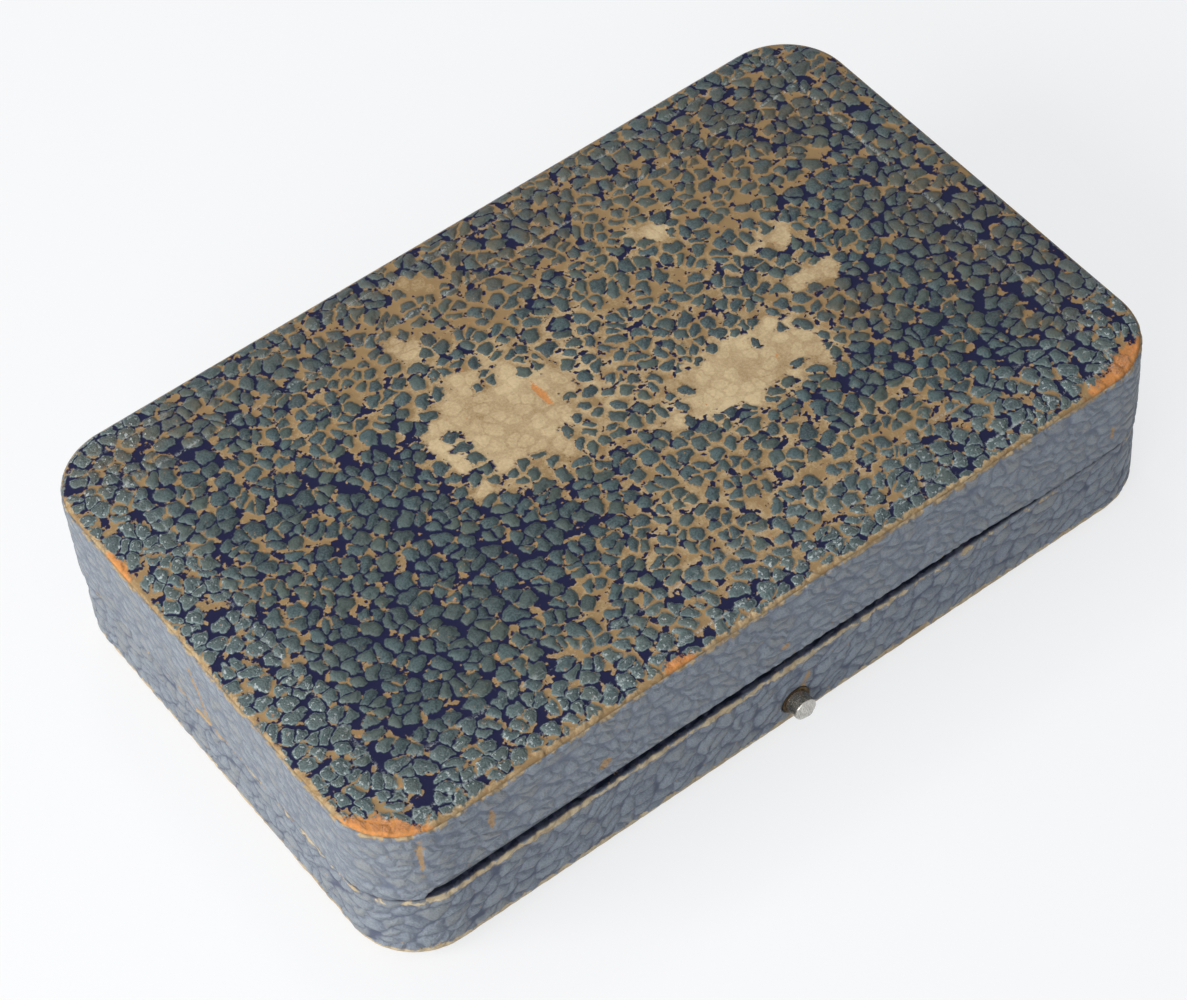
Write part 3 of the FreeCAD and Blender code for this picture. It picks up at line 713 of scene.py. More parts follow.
        # Painted sparkles, painted highlights along tooled lines, polish, and the core that shows at worn
        # edges
        spark = sparkle_spots * coat * (gloss + cloud * 1.2 - 0.1).step(0.35, 0.9)
        glint = (tooling * (fray + fine + 0.1).step(0.05, 0.25)).at_least(spark * look.spark)
        skin = pad.mix(glint * 0.55, skin, look.glint)
        cored = (core + fray * 1.5 + fibres * 1.2 + grit * 0.8).step(0.4, 0.66)
        skin = pad.mix(cored * 0.9, skin, pad.mix(fibres * 1.9 + 0.3, look.core, look.ground_dark))
        polish = (gloss * (cloud * 1.6 + fray * 1.2 + 0.8)).step(0.0, 1.0)
        rough = (1 - coat) * 0.88 + coat * (look.dull - polish * (look.dull - look.glossy))
        shape = dome * 0.6 + fine * coat * (gloss * 0.5 + 0.25)
        shape = shape + fibres * (1 - coat) * 0.14 - tooling * 0.3
        return pad.finish(Base_Color=skin, Roughness=rough + cored * 0.1 - glint * 0.3,
                          Specular_IOR_Level=0.32, Normal=pad.bump(shape, look.bump))

    def emboss(self, sheet: bpy.types.Object) -> bpy.types.Object:
        """Raise the pebbles of a plain sheet and bake the result.

        Args:
            sheet: A mesh whose points carry wrap, level, rub and gloss, and tooling, or fresh for the gap's
                painted shade, if it has them.

        Returns:
            The finished piece.
        """
        tree = self.relief().tree
        modifier = sheet.modifiers.new("Relief", "NODES")
        modifier.node_group = tree
        chosen = {"Pebble size": self.finish.size, "Stretch": self.finish.stretch,
                  "Slant": self.finish.slant, "Rise": self.finish.rise, "Groove": self.finish.gap,
                  "Rounding": self.finish.rounding, "Covering": self.dress()}
        for socket in tree.interface.items_tree:
            if socket.in_out == "INPUT" and socket.name in chosen:
                modifier[socket.identifier] = chosen[socket.name]
        return settle(sheet)


@dataclass(frozen=True)
class Border:
    """How strong a mark is round the top: most at the front, less at the left and at the back."""

    front: Span                 # how far forward it begins and is full
    left: Span                  # how far to the left it begins and is full
    left_share: float
    back_share: float

    def strength(self, points: np.ndarray) -> np.ndarray:
        """The mark's strength at each point.

        Args:
            points: Places on the top.

        Returns:
            The strengths, 1 at the front.
        """
        front = smooth(-points[:, 1], *self.front)
        left = smooth(-points[:, 0], *self.left) * self.left_share
        return np.maximum.reduce([front, left, np.full(len(points), self.back_share)])


@dataclass
class TopSheet(Covering):
    """The sheet on the lid, with its trimmed edge."""

    outline: Outline = Outline(59.85, 36.85, 9.45)
    step: float = 0.32
    end_rows: tuple[float, ...] = (0.0, 0.12, 0.35, 0.65)  # closer rows at front and back, in steps
    edge_round: float = 0.5
    edge_loops: int = 4
    crown_drop: float = 0.3     # how far the sheet falls away at its edge
    crown_reach: float = 5.0
    level: float = 27.16        # of the grooves, in the middle
    under: float = 26.5
    under_travel: float = 0.4   # of the pattern down the edge, in edge radii
    lines: tuple[tuple[int, float], ...] = ((0, -52.4), (0, 52.6), (1, -27.6), (1, 27.4), (1, -34.4),
                                            (1, 33.6))  # tooled lines: axis and place
    line_half: float = 0.16
    line_ends: Span = (53.0, 30.0)
    line_depth: float = 0.8
    relief_edge: Span = (0.3, 1.3)  # where the pebbles begin and are full, in from the edge
    rubbed: Border = Border((28.0, 36.0), (54.0, 59.0), 0.85, 0.62)
    rub_reach: float = 0.8
    # Where the coat is polished: lower roughness, and a painted sheen and painted sparkles in its colour
    polished: Border = Border((12.0, 30.0), (34.0, 52.0), 1.45, 0.3)
    polish_reach: Span = (2.0, 15.0)

    def build(self) -> bpy.types.Object:
        """The sheet, embossed and worn.

        Returns:
            The piece.
        """
        flat = self.outline.inset(self.edge_round)
        close = self.step * np.array(self.end_rows)
        plain = np.arange(-flat.half_width + self.step, flat.half_width - self.step / 2, self.step)
        y = np.unique(np.concatenate([-flat.half_width + close, plain, flat.half_width - close]))
        columns = int(2 * flat.half_length / self.step)
        x_grid = flat.half_at(y)[:, None] * np.linspace(-1.0, 1.0, columns)
        top = np.stack([x_grid.ravel(), np.repeat(y, columns)], axis=1)
        index = np.arange(x_grid.size).reshape(x_grid.shape)
        rim = np.concatenate([index[0, :-1], index[:-1, -1], index[-1, :0:-1], index[:0:-1, 0]])
        outward = np.stack(flat.core(*top[rim].T), axis=1)
        outward *= self.edge_round / np.linalg.norm(outward, axis=1, keepdims=True)
        fall = self.crown_drop * (1 - smooth(self.outline.depth(*top.T), 0.0, self.crown_reach)) ** 2
        z = self.level - fall
        rings = [(math.sin(turn), z[rim] - self.edge_round * (1 - math.cos(turn)), turn)
                 for turn in np.linspace(0, QUARTER, self.edge_loops + 1)[1:]]
        rings.append((1.0, np.full(len(rim), self.under), QUARTER + self.under_travel))
        stacked, wraps = [np.column_stack([top, z])], [top]
        faces = grid_faces(*x_grid.shape, flip=True).tolist()
        last, count = rim, len(top)
        for out, height, travel in rings:
            stacked.append(np.column_stack([top[rim] + outward * out, height]))
            wraps.append(top[rim] + outward * travel)
            ring = count + np.arange(len(rim))
            faces += np.column_stack([last, ring, np.roll(ring, -1), np.roll(last, -1)]).tolist()
            last, count = ring, count + len(rim)
        faces.append(last[::-1].tolist())
        points = np.concatenate(stacked)
        wrap = np.column_stack([np.concatenate(wraps), np.zeros(len(points))])
        depth = np.maximum(self.outline.depth(*points[:, :2].T), 0)
        on_top = np.arange(len(points)) < len(top)
        off = np.min([np.abs(points[:, axis] - place) for axis, place in self.lines], axis=0)
        end_x, end_y = self.line_ends
        lined = on_top & ((np.abs(points[:, 0]) < end_x) | (np.abs(points[:, 1]) > end_y))
        sheet = mesh_piece(self.name, points, faces, wrap=wrap,
                           level=np.where(on_top, smooth(depth, *self.relief_edge), 0.0),
                           rub=self.rubbed.strength(points) * hump(depth, self.rub_reach),
                           gloss=self.polished.strength(points) * (1 - smooth(depth, *self.polish_reach)),
                           tooling=hump(off, self.line_half) * lined * self.line_depth)
        return report(self.emboss(sheet), self.body, self.slot, self.node)


class Half(Enum):
    """The two halves of the case, and which way their strips run from the rim."""

    BASE = -1
    LID = 1


@dataclass(frozen=True)
class FingerGroove:
    """The groove in the lid's lower front edge."""

    lean: float = 0.8
    left_tip: float = -57.0
    left_full: float = -53.0
    left_rise: float = 2.4
    right_full: float = 26.0
    right_rise: float = 1.5
    right_tip: float = 48.0
    run_out: float = 1.0        # beyond a tip
    left_sunk: float = 0.5      # how far below the parting line the groove is at the run-out's end
    right_sunk: float = 0.1

    def rise(self, x: np.ndarray, y: np.ndarray, front: float) -> np.ndarray:
        """How far up the groove reaches on the outer face, below 0 where there is none.

        Args:
            x: Places along the case.
            y: Places of the outer face.
            front: The front face's place along Y.

        Returns:
            Millimetres above the parting line.
        """
        on_front = np.interp(x, [self.left_tip - self.run_out, self.left_tip, self.left_full,
                                 self.right_full, self.right_tip, self.right_tip + self.run_out],
                             [-self.left_sunk, 0, self.left_rise, self.right_rise, 0, -self.right_sunk])
        return on_front - (y - front) / self.lean


@dataclass(frozen=True)
class EdgeRub:
    """How hard a strip's two edges are rubbed, and how far in the rubbing reaches."""

    arris: tuple[Span, ...]     # places round the case, and the strength there
    arris_place: float
    arris_reach: float
    edge: float
    edge_place: float
    edge_reach: float

    def strength(self, along: np.ndarray, from_arris: np.ndarray, from_edge: np.ndarray) -> np.ndarray:
        """The rubbing at each point.

        Args:
            along: Distances round the case.
            from_arris: Distances from the rim's arris, over the strip.
            from_edge: Heights from the strip's other edge.

        Returns:
            The rubbing, from 0 to 1.
        """
        hard = np.interp(along, *zip(*self.arris))
        at_arris = hard * hump(from_arris - self.arris_place, self.arris_reach)
        at_edge = self.edge * hump(np.maximum(from_edge - self.edge_place, 0), self.edge_reach)
        return np.maximum(at_arris, at_edge)


LID_RUB = EdgeRub(((0, 0.36),), 0.0, 0.45, 0.7, 0.0, 0.7)
BASE_RUB = EdgeRub(((-190, 0.4), (-110, 0.45), (-84, 0.6), (-60, 0.7), (-50, 0.95), (2, 0.95), (22, 0.62),
                    (60, 0.42), (190, 0.4)), 0.4, 0.85, 1.0, 1.8, 0.8)


@dataclass
class SideStrip(Covering):
    """The strip round one half, turned over its rim and, on the base, under its bottom."""

    half: Half = Half.LID
    rub: EdgeRub = LID_RUB
    outline: Outline = Outline(60.0, 37.0, 9.6)
    rim: float = 13.4
    height: float = 13.1        # from the rim to the strip's other edge
    thickness: float = 0.6
    turn_in: float = 2.4
    arris: float = 0.4
    turn_rows: int = 5
    arris_rows: int = 6
    bottom_rows: int = 8
    bottom_round: float = 0.0
    bottom_turn: float = 0.0
    bottom_flat: Span = (2.4, 1.0)  # where the pebbles flatten, above the bottom
    bottom_fade: float = 0.8
    step: float = 0.3
    parting: float = 13.3
    pin_y: float = 35.4
    stop_angle: float = 105.0
    knuckle_room: float = 1.8
    knuckle_start: float = 128.0  # angle round the pin at which a notch begins
    hinge_half: float = 8.3
    hinges: Span = (-32.0, 32.0)
    hole: tuple[float, float, float] = (0.0, 0.0, 0.0)  # button hole: X, Z and radius
    hole_margin: float = 1.2    # flattened round the hole
    hole_sides: int = 48
    steepest: float = 0.2       # least forward part of the outward direction that the groove counts with
    gap_shade_span: Span = (-0.3, 0.1)   # from the painted shade of the gap to the faded face, over the arris
    # Also sets the painted rim highlight on the pebbles, besides the roughness
    gloss: float = 0.35
    groove: FingerGroove = FingerGroove()

    def section(self, points: np.ndarray, outward: np.ndarray) -> tuple[np.ndarray, ...]:
        """The strip's outline in section at each place round the case.

        Args:
            points: Places on the outer face, seen from above.
            outward: Directions out of the face there.

        Returns:
            Insets and heights from the rim, row by row, and the height of the arris at each place.
        """
        x, y = points.T
        play = abs(self.rim - self.parting)
        tangent = math.tan(math.radians(self.stop_angle / 2))
        back = (y - self.pin_y) * tangent - play
        back_in = np.maximum(y - self.pin_y, 0) - play / tangent
        front = np.full_like(x, -1.0)
        if self.half is Half.LID:
            front = self.groove.rise(x, y, -self.outline.half_width) - play
        front_in = np.maximum(front, 0) * self.groove.lean / np.maximum(-outward[:, 1], self.steepest)
        rise = np.maximum.reduce([back, front, np.full_like(x, self.arris)])
        inward = np.maximum.reduce([back_in, front_in, np.full_like(x, self.arris)])
        inward = np.minimum(inward, self.turn_in - self.arris)
        sharp = smooth(rise, self.arris, 2 * self.arris)
        insets, heights = [], []
        for share in np.linspace(0, 1, self.turn_rows, endpoint=False):
            insets.append(self.turn_in + (inward - self.turn_in) * share)
            heights.append(0 * x)
        for share in np.linspace(0, 1, self.arris_rows, endpoint=False):
            angle = share * QUARTER
            insets.append(inward * ((1 - share) * sharp + (1 - math.sin(angle)) * (1 - sharp)))
            heights.append(rise * (share * sharp + (1 - math.cos(angle)) * (1 - sharp)))
        face_end = self.height - self.bottom_round
        for share in np.linspace(0, 1, int(self.height / self.step)):
            insets.append(0 * x)
            heights.append(rise + (face_end - rise) * share)
        insets, heights = np.array(insets), np.array(heights)
        self.notch(points, insets, heights, play)
        return insets, heights, rise

    def notch(self, points: np.ndarray, insets: np.ndarray, heights: np.ndarray, play: float) -> None:
        """Draw the rows of the rim back from the hinges' knuckles.

        Args:
            points: Places on the outer face, seen from above.
            insets: Insets of the rows, changed here.
            heights: Heights of the rows, changed here.
            play: The parting line's distance from the rim.
        """
        x, y = points.T
        angles = np.radians(np.linspace(self.knuckle_start, self.stop_angle / 2,
                                        self.turn_rows + self.arris_rows))
        for middle in self.hinges:
            columns = np.flatnonzero((np.abs(x - middle) < self.hinge_half) & (y > 0))
            for row, angle in enumerate(angles):
                insets[row, columns] = y[columns] - self.pin_y - self.knuckle_room * math.cos(angle)
                heights[row, columns] = self.knuckle_room * math.sin(angle) - play

    def build(self) -> bpy.types.Object:
        """The strip, embossed and worn, with the button's hole on the base.

        Returns:
            The piece.
        """
        points, outward, along = self.outline.trace(self.step)
        insets, heights, rise = self.section(points, outward)
        extra = []
        if self.bottom_round:
            extra += [(self.bottom_round * (1 - math.cos(angle)),
                       self.height - self.bottom_round * (1 - math.sin(angle)))
                      for angle in np.linspace(0, QUARTER, self.bottom_rows + 1)[1:]]
            extra.append((self.bottom_turn, self.height))
        shown_rows = len(insets) + len(extra)
        if self.bottom_round:
            extra.append((self.bottom_turn, self.height - self.thickness))
        extra += [(self.thickness, self.height - self.bottom_round), (self.thickness, self.thickness),
                  (self.turn_in, self.thickness)]
        extra_insets, extra_heights = (np.repeat(np.array(extra)[:, [part]], len(along), axis=1)
                                       for part in (0, 1))
        insets = np.vstack([insets, extra_insets])
        heights = np.vstack([heights, extra_heights])
        rows, columns = insets.shape
        steps = np.hypot(np.diff(insets, axis=0), np.diff(heights, axis=0))
        travel = np.vstack([np.zeros((1, columns)), np.cumsum(steps, axis=0)])
        from_arris = travel - travel[self.turn_rows + self.arris_rows]
        across = from_arris + rise
        plan = points[None] - outward[None] * insets[..., None]
        z = self.rim + self.half.value * heights
        grid = np.concatenate([plan, z[..., None]], axis=-1).reshape(-1, 3)
        faces = grid_faces(rows + 1, columns, flip=self.half is Half.LID) % len(grid)
        ends = np.arange(rows) * columns
        caps = [cap[::self.half.value].tolist() for cap in (ends, ends[::-1] + columns - 1)]
        wrap = np.stack([np.broadcast_to(along, across.shape), across, 0 * across], axis=-1)
        level = np.zeros((rows, columns))
        level[1:shown_rows - 1] = 1.0
        if self.bottom_round:
            begin, end = (self.height - above for above in self.bottom_flat)
            level *= 1 - self.bottom_fade * smooth(heights, begin, end)
        hole_x, hole_z, hole_radius = self.hole
        if hole_radius:
            reach = np.hypot(grid[:, 0] - hole_x, grid[:, 2] - hole_z)
            full = smooth(reach, hole_radius, hole_radius + self.hole_margin)
            level *= np.where(grid[:, 1] < 0, full, 1).reshape(level.shape)
        rubbed = self.rub.strength(along, from_arris, self.height - heights)
        strip = mesh_piece(self.name, grid, faces.tolist() + caps, wrap=wrap.reshape(-1, 3),
                           level=level.ravel(), rub=rubbed.ravel(),
                           # fresh: the turn-in in the gap, unfaded colour painted darker as shade
                           fresh=(1 - smooth(from_arris, *self.gap_shade_span)).ravel(),
                           gloss=np.full(len(grid), self.gloss))
        piece = self.emboss(strip)
        if hole_radius:
            self.drill(piece)
        return report(piece, self.body, self.slot, self.node)

    def drill(self, piece: bpy.types.Object) -> None:
        """Cut the button's hole through the front.

        Args:
            piece: The strip.
        """
        x, z, radius = self.hole
        form = bmesh.new()
        turn = Matrix.Rotation(QUARTER, 4, "X")
        place = Matrix.Translation(Vector((x, -self.outline.half_width, z)) * MM)
        bmesh.ops.create_cone(form, cap_ends=True, segments=self.hole_sides, radius1=radius * MM,
                              radius2=radius * MM, depth=4 * self.thickness * MM, matrix=place @ turn)
        drill = cast("button_drill", form)
        cut = piece.modifiers.new("Hole", "BOOLEAN")
        cut.operation, cut.solver, cut.object = "DIFFERENCE", "EXACT", drill
        settle(piece)
        bpy.data.objects.remove(drill)


TOP_FINISH = LeatherFinish(
    pebble=tint(28, 42, 48), pebble_pale=tint(66, 84, 86), pebble_green=tint(70, 78, 66),
    pebble_rim_and_sheen=tint(116, 134, 134), pebble_unfaded_shaded=tint(40, 62, 72), groove=tint(4, 7, 46),
    groove_unfaded_shaded=tint(14, 15, 44), ground=tint(194, 174, 138), ground_dark=tint(138, 113, 78),
    core=tint(206, 132, 68), stain=tint(84, 72, 50), glint=tint(196, 204, 204), size=2.2, rounding=0.42,
    gap=0.11, gap_worn=0.01, gap_thin=0.14, eaten=0.45, uneven=0.95, edge_age=0.5, fray=0.54, soft=0.07,
    rise=0.3, bump=0.26, flank=0.22, tan_level=0.2, dull=0.48, glossy=0.13, spark=1.0, sheen=0.18)
# Side finishes: grooves darker than pebbles, partly the covering's own colour, partly painted shade; the
# base's grooves are painted darker still
LID_SIDE_FINISH = LeatherFinish(
    pebble=tint(114, 122, 132), pebble_pale=tint(136, 144, 152), pebble_green=tint(131, 133, 130),
    pebble_rim_and_sheen=tint(130, 139, 148), pebble_unfaded_shaded=tint(20, 28, 46), groove=tint(92, 100, 116),
    groove_unfaded_shaded=tint(12, 13, 38), ground=tint(178, 162, 132), ground_dark=tint(142, 120, 88),
    core=tint(172, 138, 96), stain=tint(120, 112, 104), glint=tint(150, 160, 170), size=1.75, stretch=1.3,
    slant=0.45, rounding=-0.3, gap=0.0, gap_worn=0.1, uneven=0.5, edge_age=0.2, fray=0.5, soft=0.5,
    rise=0.13, bump=0.5, flank=0.45, tan_level=-1.2, dull=0.48, glossy=0.34)
BASE_SIDE_FINISH = replace(
    LID_SIDE_FINISH, pebble=tint(106, 115, 127), pebble_pale=tint(132, 141, 150),
    pebble_green=tint(126, 129, 127), pebble_rim_and_sheen=tint(132, 141, 150), groove=tint(76, 82, 99),
    ground=tint(188, 174, 146), ground_dark=tint(150, 128, 94), size=2.15, stretch=1.2, rounding=-0.2,
    gap=0.05, edge_age=0.0, soft=0.35, rise=0.18, bump=0.42, flank=0.4, tan_level=-1.0, dull=0.46,
    glossy=0.32)

TOP_WEAR = Wear(
    bare=(Patch(-9.9, 5.4, 9.0, 7.2), Patch(17.0, -6.8, 9.4, 4.4, -8), Patch(-13, 23, 1.9, 2.2),
          Patch(-6.5, 31, 3.0, 1.2, -35), Patch(21, 20, 3.0, 1.0, -40), Patch(33, 9, 2.4, 1.3),
          Patch(33.5, 0, 2.8, 1.2)),
    worn=(Patch(12, 6, 30, 22), Patch(6, -21, 30, 13), Patch(-12, 22, 26, 11), Patch(22, 20, 26, 11)),
    kept=(Patch(-27, 3, 10, 9), Patch(-26, -12, 18, 8), Patch(50, -14, 12, 17), Patch(-45, -19, 14, 12),
          Patch(28, -16, 14, 4, -5)),
    core=(Patch(-56.6, -33.8, 8.6, 1.7, -46), Patch(53, -35.6, 8.0, 1.5, 16), Patch(-16.5, -36.5, 2.4, 1.0),
          Patch(-59.7, 17.5, 0.9, 2.4), Patch(-4.7, 6.5, 0.5, 2.4)),
    stain=(Patch(42, 24, 20, 14), Patch(52, -23, 7, 6), Patch(34, -7, 6, 8), Patch(-46, 31, 16, 6),
           Patch(4, 31, 40, 12), Patch(54, -4, 12, 24)))
LID_SIDE_WEAR = Wear(
    core=(Patch(-54.1, 8.8, 0.4, 3.2), Patch(-44.5, 8.2, 0.45, 1.7), Patch(-28.5, 4.6, 1.0, 0.8, 30),
          Patch(-1.5, 4.1, 0.7, 0.6), Patch(50.5, 3.6, 0.4, 1.2), Patch(-94.5, 4.6, 0.4, 5.0, 18)))
BASE_SIDE_WEAR = Wear(
    core=(Patch(1.6, 5.4, 0.6, 1.5, 25), Patch(-95, 0.5, 8.5, 0.6)),
    worn=(Patch(0.3, 8.2, 4.2, 4.2),))


@dataclass(frozen=True)
class Finish:
    """A finish that is the same on every piece that has it."""

    name: str

    def dress(self) -> bpy.types.Material:
        """The finish as a material."""
        raise NotImplementedError


class Grip(Enum):
    """Which way the grain of a piece of wood runs."""

    ALONG_X = (1.0, 9.0, 9.0)
    ALONG_Y = (9.0, 1.0, 9.0)


@dataclass(frozen=True)
class WoodFinish(Finish):
    """Stained, oiled wood with an open grain."""

    grip: Grip
    pale: Colour = tint(150, 98, 58)
    dark: Colour = tint(84, 48, 27)

    def dress(self) -> bpy.types.Material:
        """The wood with its grain along one axis.

        Returns:
            The material.
        """
        pad = SurfacePad(self.name)
        place = pad.place()
        along = pad.times(place, self.grip.value)
        figure = pad.noise(along, 0.05, 5.0, 0.6, True)
        pores = pad.noise(along, 0.4, 3.0, 0.7, True).step(0.58, 0.7)
        stain = pad.noise(place, 0.08, 4.0, 0.6, True)
        tone = (figure - 0.5) * 2.2 + (stain - 0.5) * 0.9 + 0.45 + pores * 0.3
        return pad.finish(Base_Color=pad.mix(tone, self.pale, self.dark), Roughness=0.5 + pores * 0.25,
                          Normal=pad.bump(1 - pores * 0.6 + figure * 0.3, 0.05))


@dataclass(frozen=True)
class MetalFinish(Finish):
    """Old metal: bright where it is rubbed, dull where it has tarnished."""

    bright: Colour
    tarnish: Colour
    share: float                # of tarnish
    polish: float               # roughness where it is bright

    def dress(self) -> bpy.types.Material:
        """The metal, brushed along X.

        Returns:
            The material.
        """
        pad = SurfacePad(self.name)
        place = pad.place()
        cloud = pad.noise(place, 0.6, 5.0, 0.65, True)
        brushed = pad.noise(pad.times(place, (0.6, 6.0, 6.0)), 2.0, 3.0, 0.6, True)
        pits = pad.noise(place, 5.0, 2.0, 0.5, True).step(0.66, 0.74)
        dull = (cloud - 0.5) * 2.6 + (brushed - 0.5) * 0.6 + self.share
        dull = dull.at_least(pits * 0.8).step(0.0, 1.0)
        return pad.finish(Base_Color=pad.mix(dull, self.bright, self.tarnish), Metallic=1 - dull * 0.25,
                          Roughness=self.polish + dull * 0.3 + (brushed - 0.5) * 0.12,
                          Normal=pad.bump(brushed * 0.5 - pits * 0.4, 0.012))


@dataclass(frozen=True)
class PaperFinish(Finish):
    """Aged paper or card, foxed and thumbed."""

    fresh: Colour
    aged: Colour
    fibre: float                # fibres to the millimetre

    def dress(self) -> bpy.types.Material:
        """The paper.

        Returns:
            The material.
        """
        pad = SurfacePad(self.name)
        place = pad.place()
        cloud = pad.noise(place, 0.07, 5.0, 0.62, True)
        fibre = pad.noise(place, self.fibre, 4.0, 0.7, True)
        foxing = pad.noise(place, 0.35, 2.0, 0.5, True).step(0.66, 0.76)
        tone = (cloud - 0.4) * 1.3 + (fibre - 0.5) * 0.5 + foxing * 0.5
        return pad.finish(Base_Color=pad.mix(tone, self.fresh, self.aged), Roughness=0.85 - foxing * 0.1,
                          Normal=pad.bump(fibre, 0.03))


@dataclass(frozen=True)
class SoleFinish(Finish):
    """The rubbed sheet on the underside."""

    coat: Colour = tint(46, 56, 78)
    groove: Colour = tint(27, 31, 52)
    ground: Colour = tint(176, 154, 118)
    size: float = 2.4
    stretch: float = 1.1
    slant: float = 0.2
    half_length: float = 55.2   # of the part that the edge's rubbing leaves alone
    half_width: float = 32.2

    def dress(self) -> bpy.types.Material:
        """The sheet.

        Returns:
            The material.
        """
        pad = SurfacePad(self.name)
        place = pad.place()
        x, y, _ = place.parts()
        grain = pebbles(pad, pad.vector(x, y), self.size, self.stretch, self.slant)
        fray = pad.noise(place, 1.6, 5.0, 0.7, True) - 0.5
        cloud = pad.noise(place, 0.09, 5.0, 0.65, True) - 0.5
        island = (grain.inside + fray * 0.35).step(0.05, 0.3)
        edge = ((abs(x) - self.half_length).at_least(abs(y) - self.half_width) / 2.0).step(-1.5, 1.2)
        rubbed = (cloud * 2.0 + fray * 0.8 + edge * 0.6 + island * 0.1).step(0.42, 0.6)
        coat = pad.mix(island, self.groove, self.coat)
        return pad.finish(Base_Color=pad.mix(rubbed, coat, self.ground), Roughness=0.62 + rubbed * 0.25,
                          Normal=pad.bump(island * 0.8 + fray * 0.3, 0.12))


@dataclass(frozen=True)
class VelvetFinish(Finish):
    """Short pile, paler where it is stroked flat."""

    pile: Colour = tint(34, 34, 74)
    stroked: Colour = tint(68, 69, 114)
    worn: Colour = tint(104, 100, 124)
    sheen: Colour = tint(158, 160, 205)

    def dress(self) -> bpy.types.Material:
        """The velvet, whose points carry how far it is rubbed.

        Returns:
            The material.
        """
        pad = SurfacePad(self.name)
        place = pad.place()
        nap = pad.noise(place, 0.11, 4.0, 0.6, True)
        tuft = pad.noise(place, 4.5, 3.0, 0.7, True)
        tone = (nap - 0.5) * 2.4 + (tuft - 0.5) * 1.2 + 0.35
        rubbed = (pad.read("rub") + (tuft - 0.5) * 0.9 + (nap - 0.5) * 0.8).step(0.45, 1.1)
        colour = pad.mix(rubbed * 0.7, pad.mix(tone, self.pile, self.stroked), self.worn)
        return pad.finish(Base_Color=colour, Roughness=0.92 - rubbed * 0.1, Sheen_Weight=0.7,
                          Sheen_Roughness=0.35, Sheen_Tint=self.sheen, Specular_IOR_Level=0.15,
                          Normal=pad.bump(tuft * 0.7 + nap * 0.6, 0.12))


@dataclass(frozen=True)
class SatinFinish(Finish):
    """Aged satin with a fine twill."""

    thread: Colour = tint(206, 192, 160)
    shade: Colour = tint(164, 142, 104)
    stain: Colour = tint(140, 108, 70)
    threads: float = 2.6        # to the millimetre

    def dress(self) -> bpy.types.Material:
        """The satin.

        Returns:
            The material.
        """
        pad = SurfacePad(self.name)
        place = pad.place()
        x, y, _ = place.parts()
        wave = pad.math("SINE", (x + y * 0.45) * (2 * math.pi * self.threads))
        cross = pad.math("SINE", (y - x * 0.2) * (math.pi * self.threads))
        twill = wave * 0.35 + cross * 0.15 + 0.5
        cloud = pad.noise(place, 0.05, 5.0, 0.6, True)
        foxing = pad.noise(place, 0.22, 3.0, 0.55, True).step(0.64, 0.78)
        press = pad.noise(pad.times(place, (0.5, 2.0, 0.0)), 0.12, 3.0, 0.5, True)
        tone = (cloud - 0.42) * 1.6 + (twill - 0.5) * 0.3 + (press - 0.5) * 0.5
        colour = pad.mix(foxing * 0.55, pad.mix(tone, self.thread, self.shade), self.stain)
        return pad.finish(Base_Color=colour, Roughness=0.46 + (twill - 0.5) * 0.2, Sheen_Weight=0.25,
                          Sheen_Roughness=0.4, Normal=pad.bump(twill * 0.5 + press * 0.5, 0.05))


@dataclass(frozen=True)
class Recess:
    """A round-ended place for one instrument, sunk in the tray."""

    row: float
    start: float
    start_radius: float
    end: float
    end_radius: float
    floor: float

    def distance(self, x: np.ndarray, y: np.ndarray) -> np.ndarray:
        """Distance from the recess's wall, below 0 inside it.

        Args:
            x: Places along the tray.
            y: Places across it.

        Returns:
            The distances.
        """
        way = 1.0 if self.end > self.start else -1.0
        head = self.start + way * self.start_radius
        tip = self.end - way * self.end_radius
        run = abs(tip - head)
        lean = (self.start_radius - self.end_radius) / run
        side = math.sqrt(1 - lean * lean)
        along, off = (x - head) * way, np.abs(y - self.row)
        reach = along * side - off * lean
        flank = off * side + along * lean - self.start_radius
        at_head = np.hypot(along, off) - self.start_radius
        at_tip = np.hypot(along - run, off) - self.end_radius
        return np.where(reach < 0, at_head, np.where(reach > run * side, at_tip, flank))


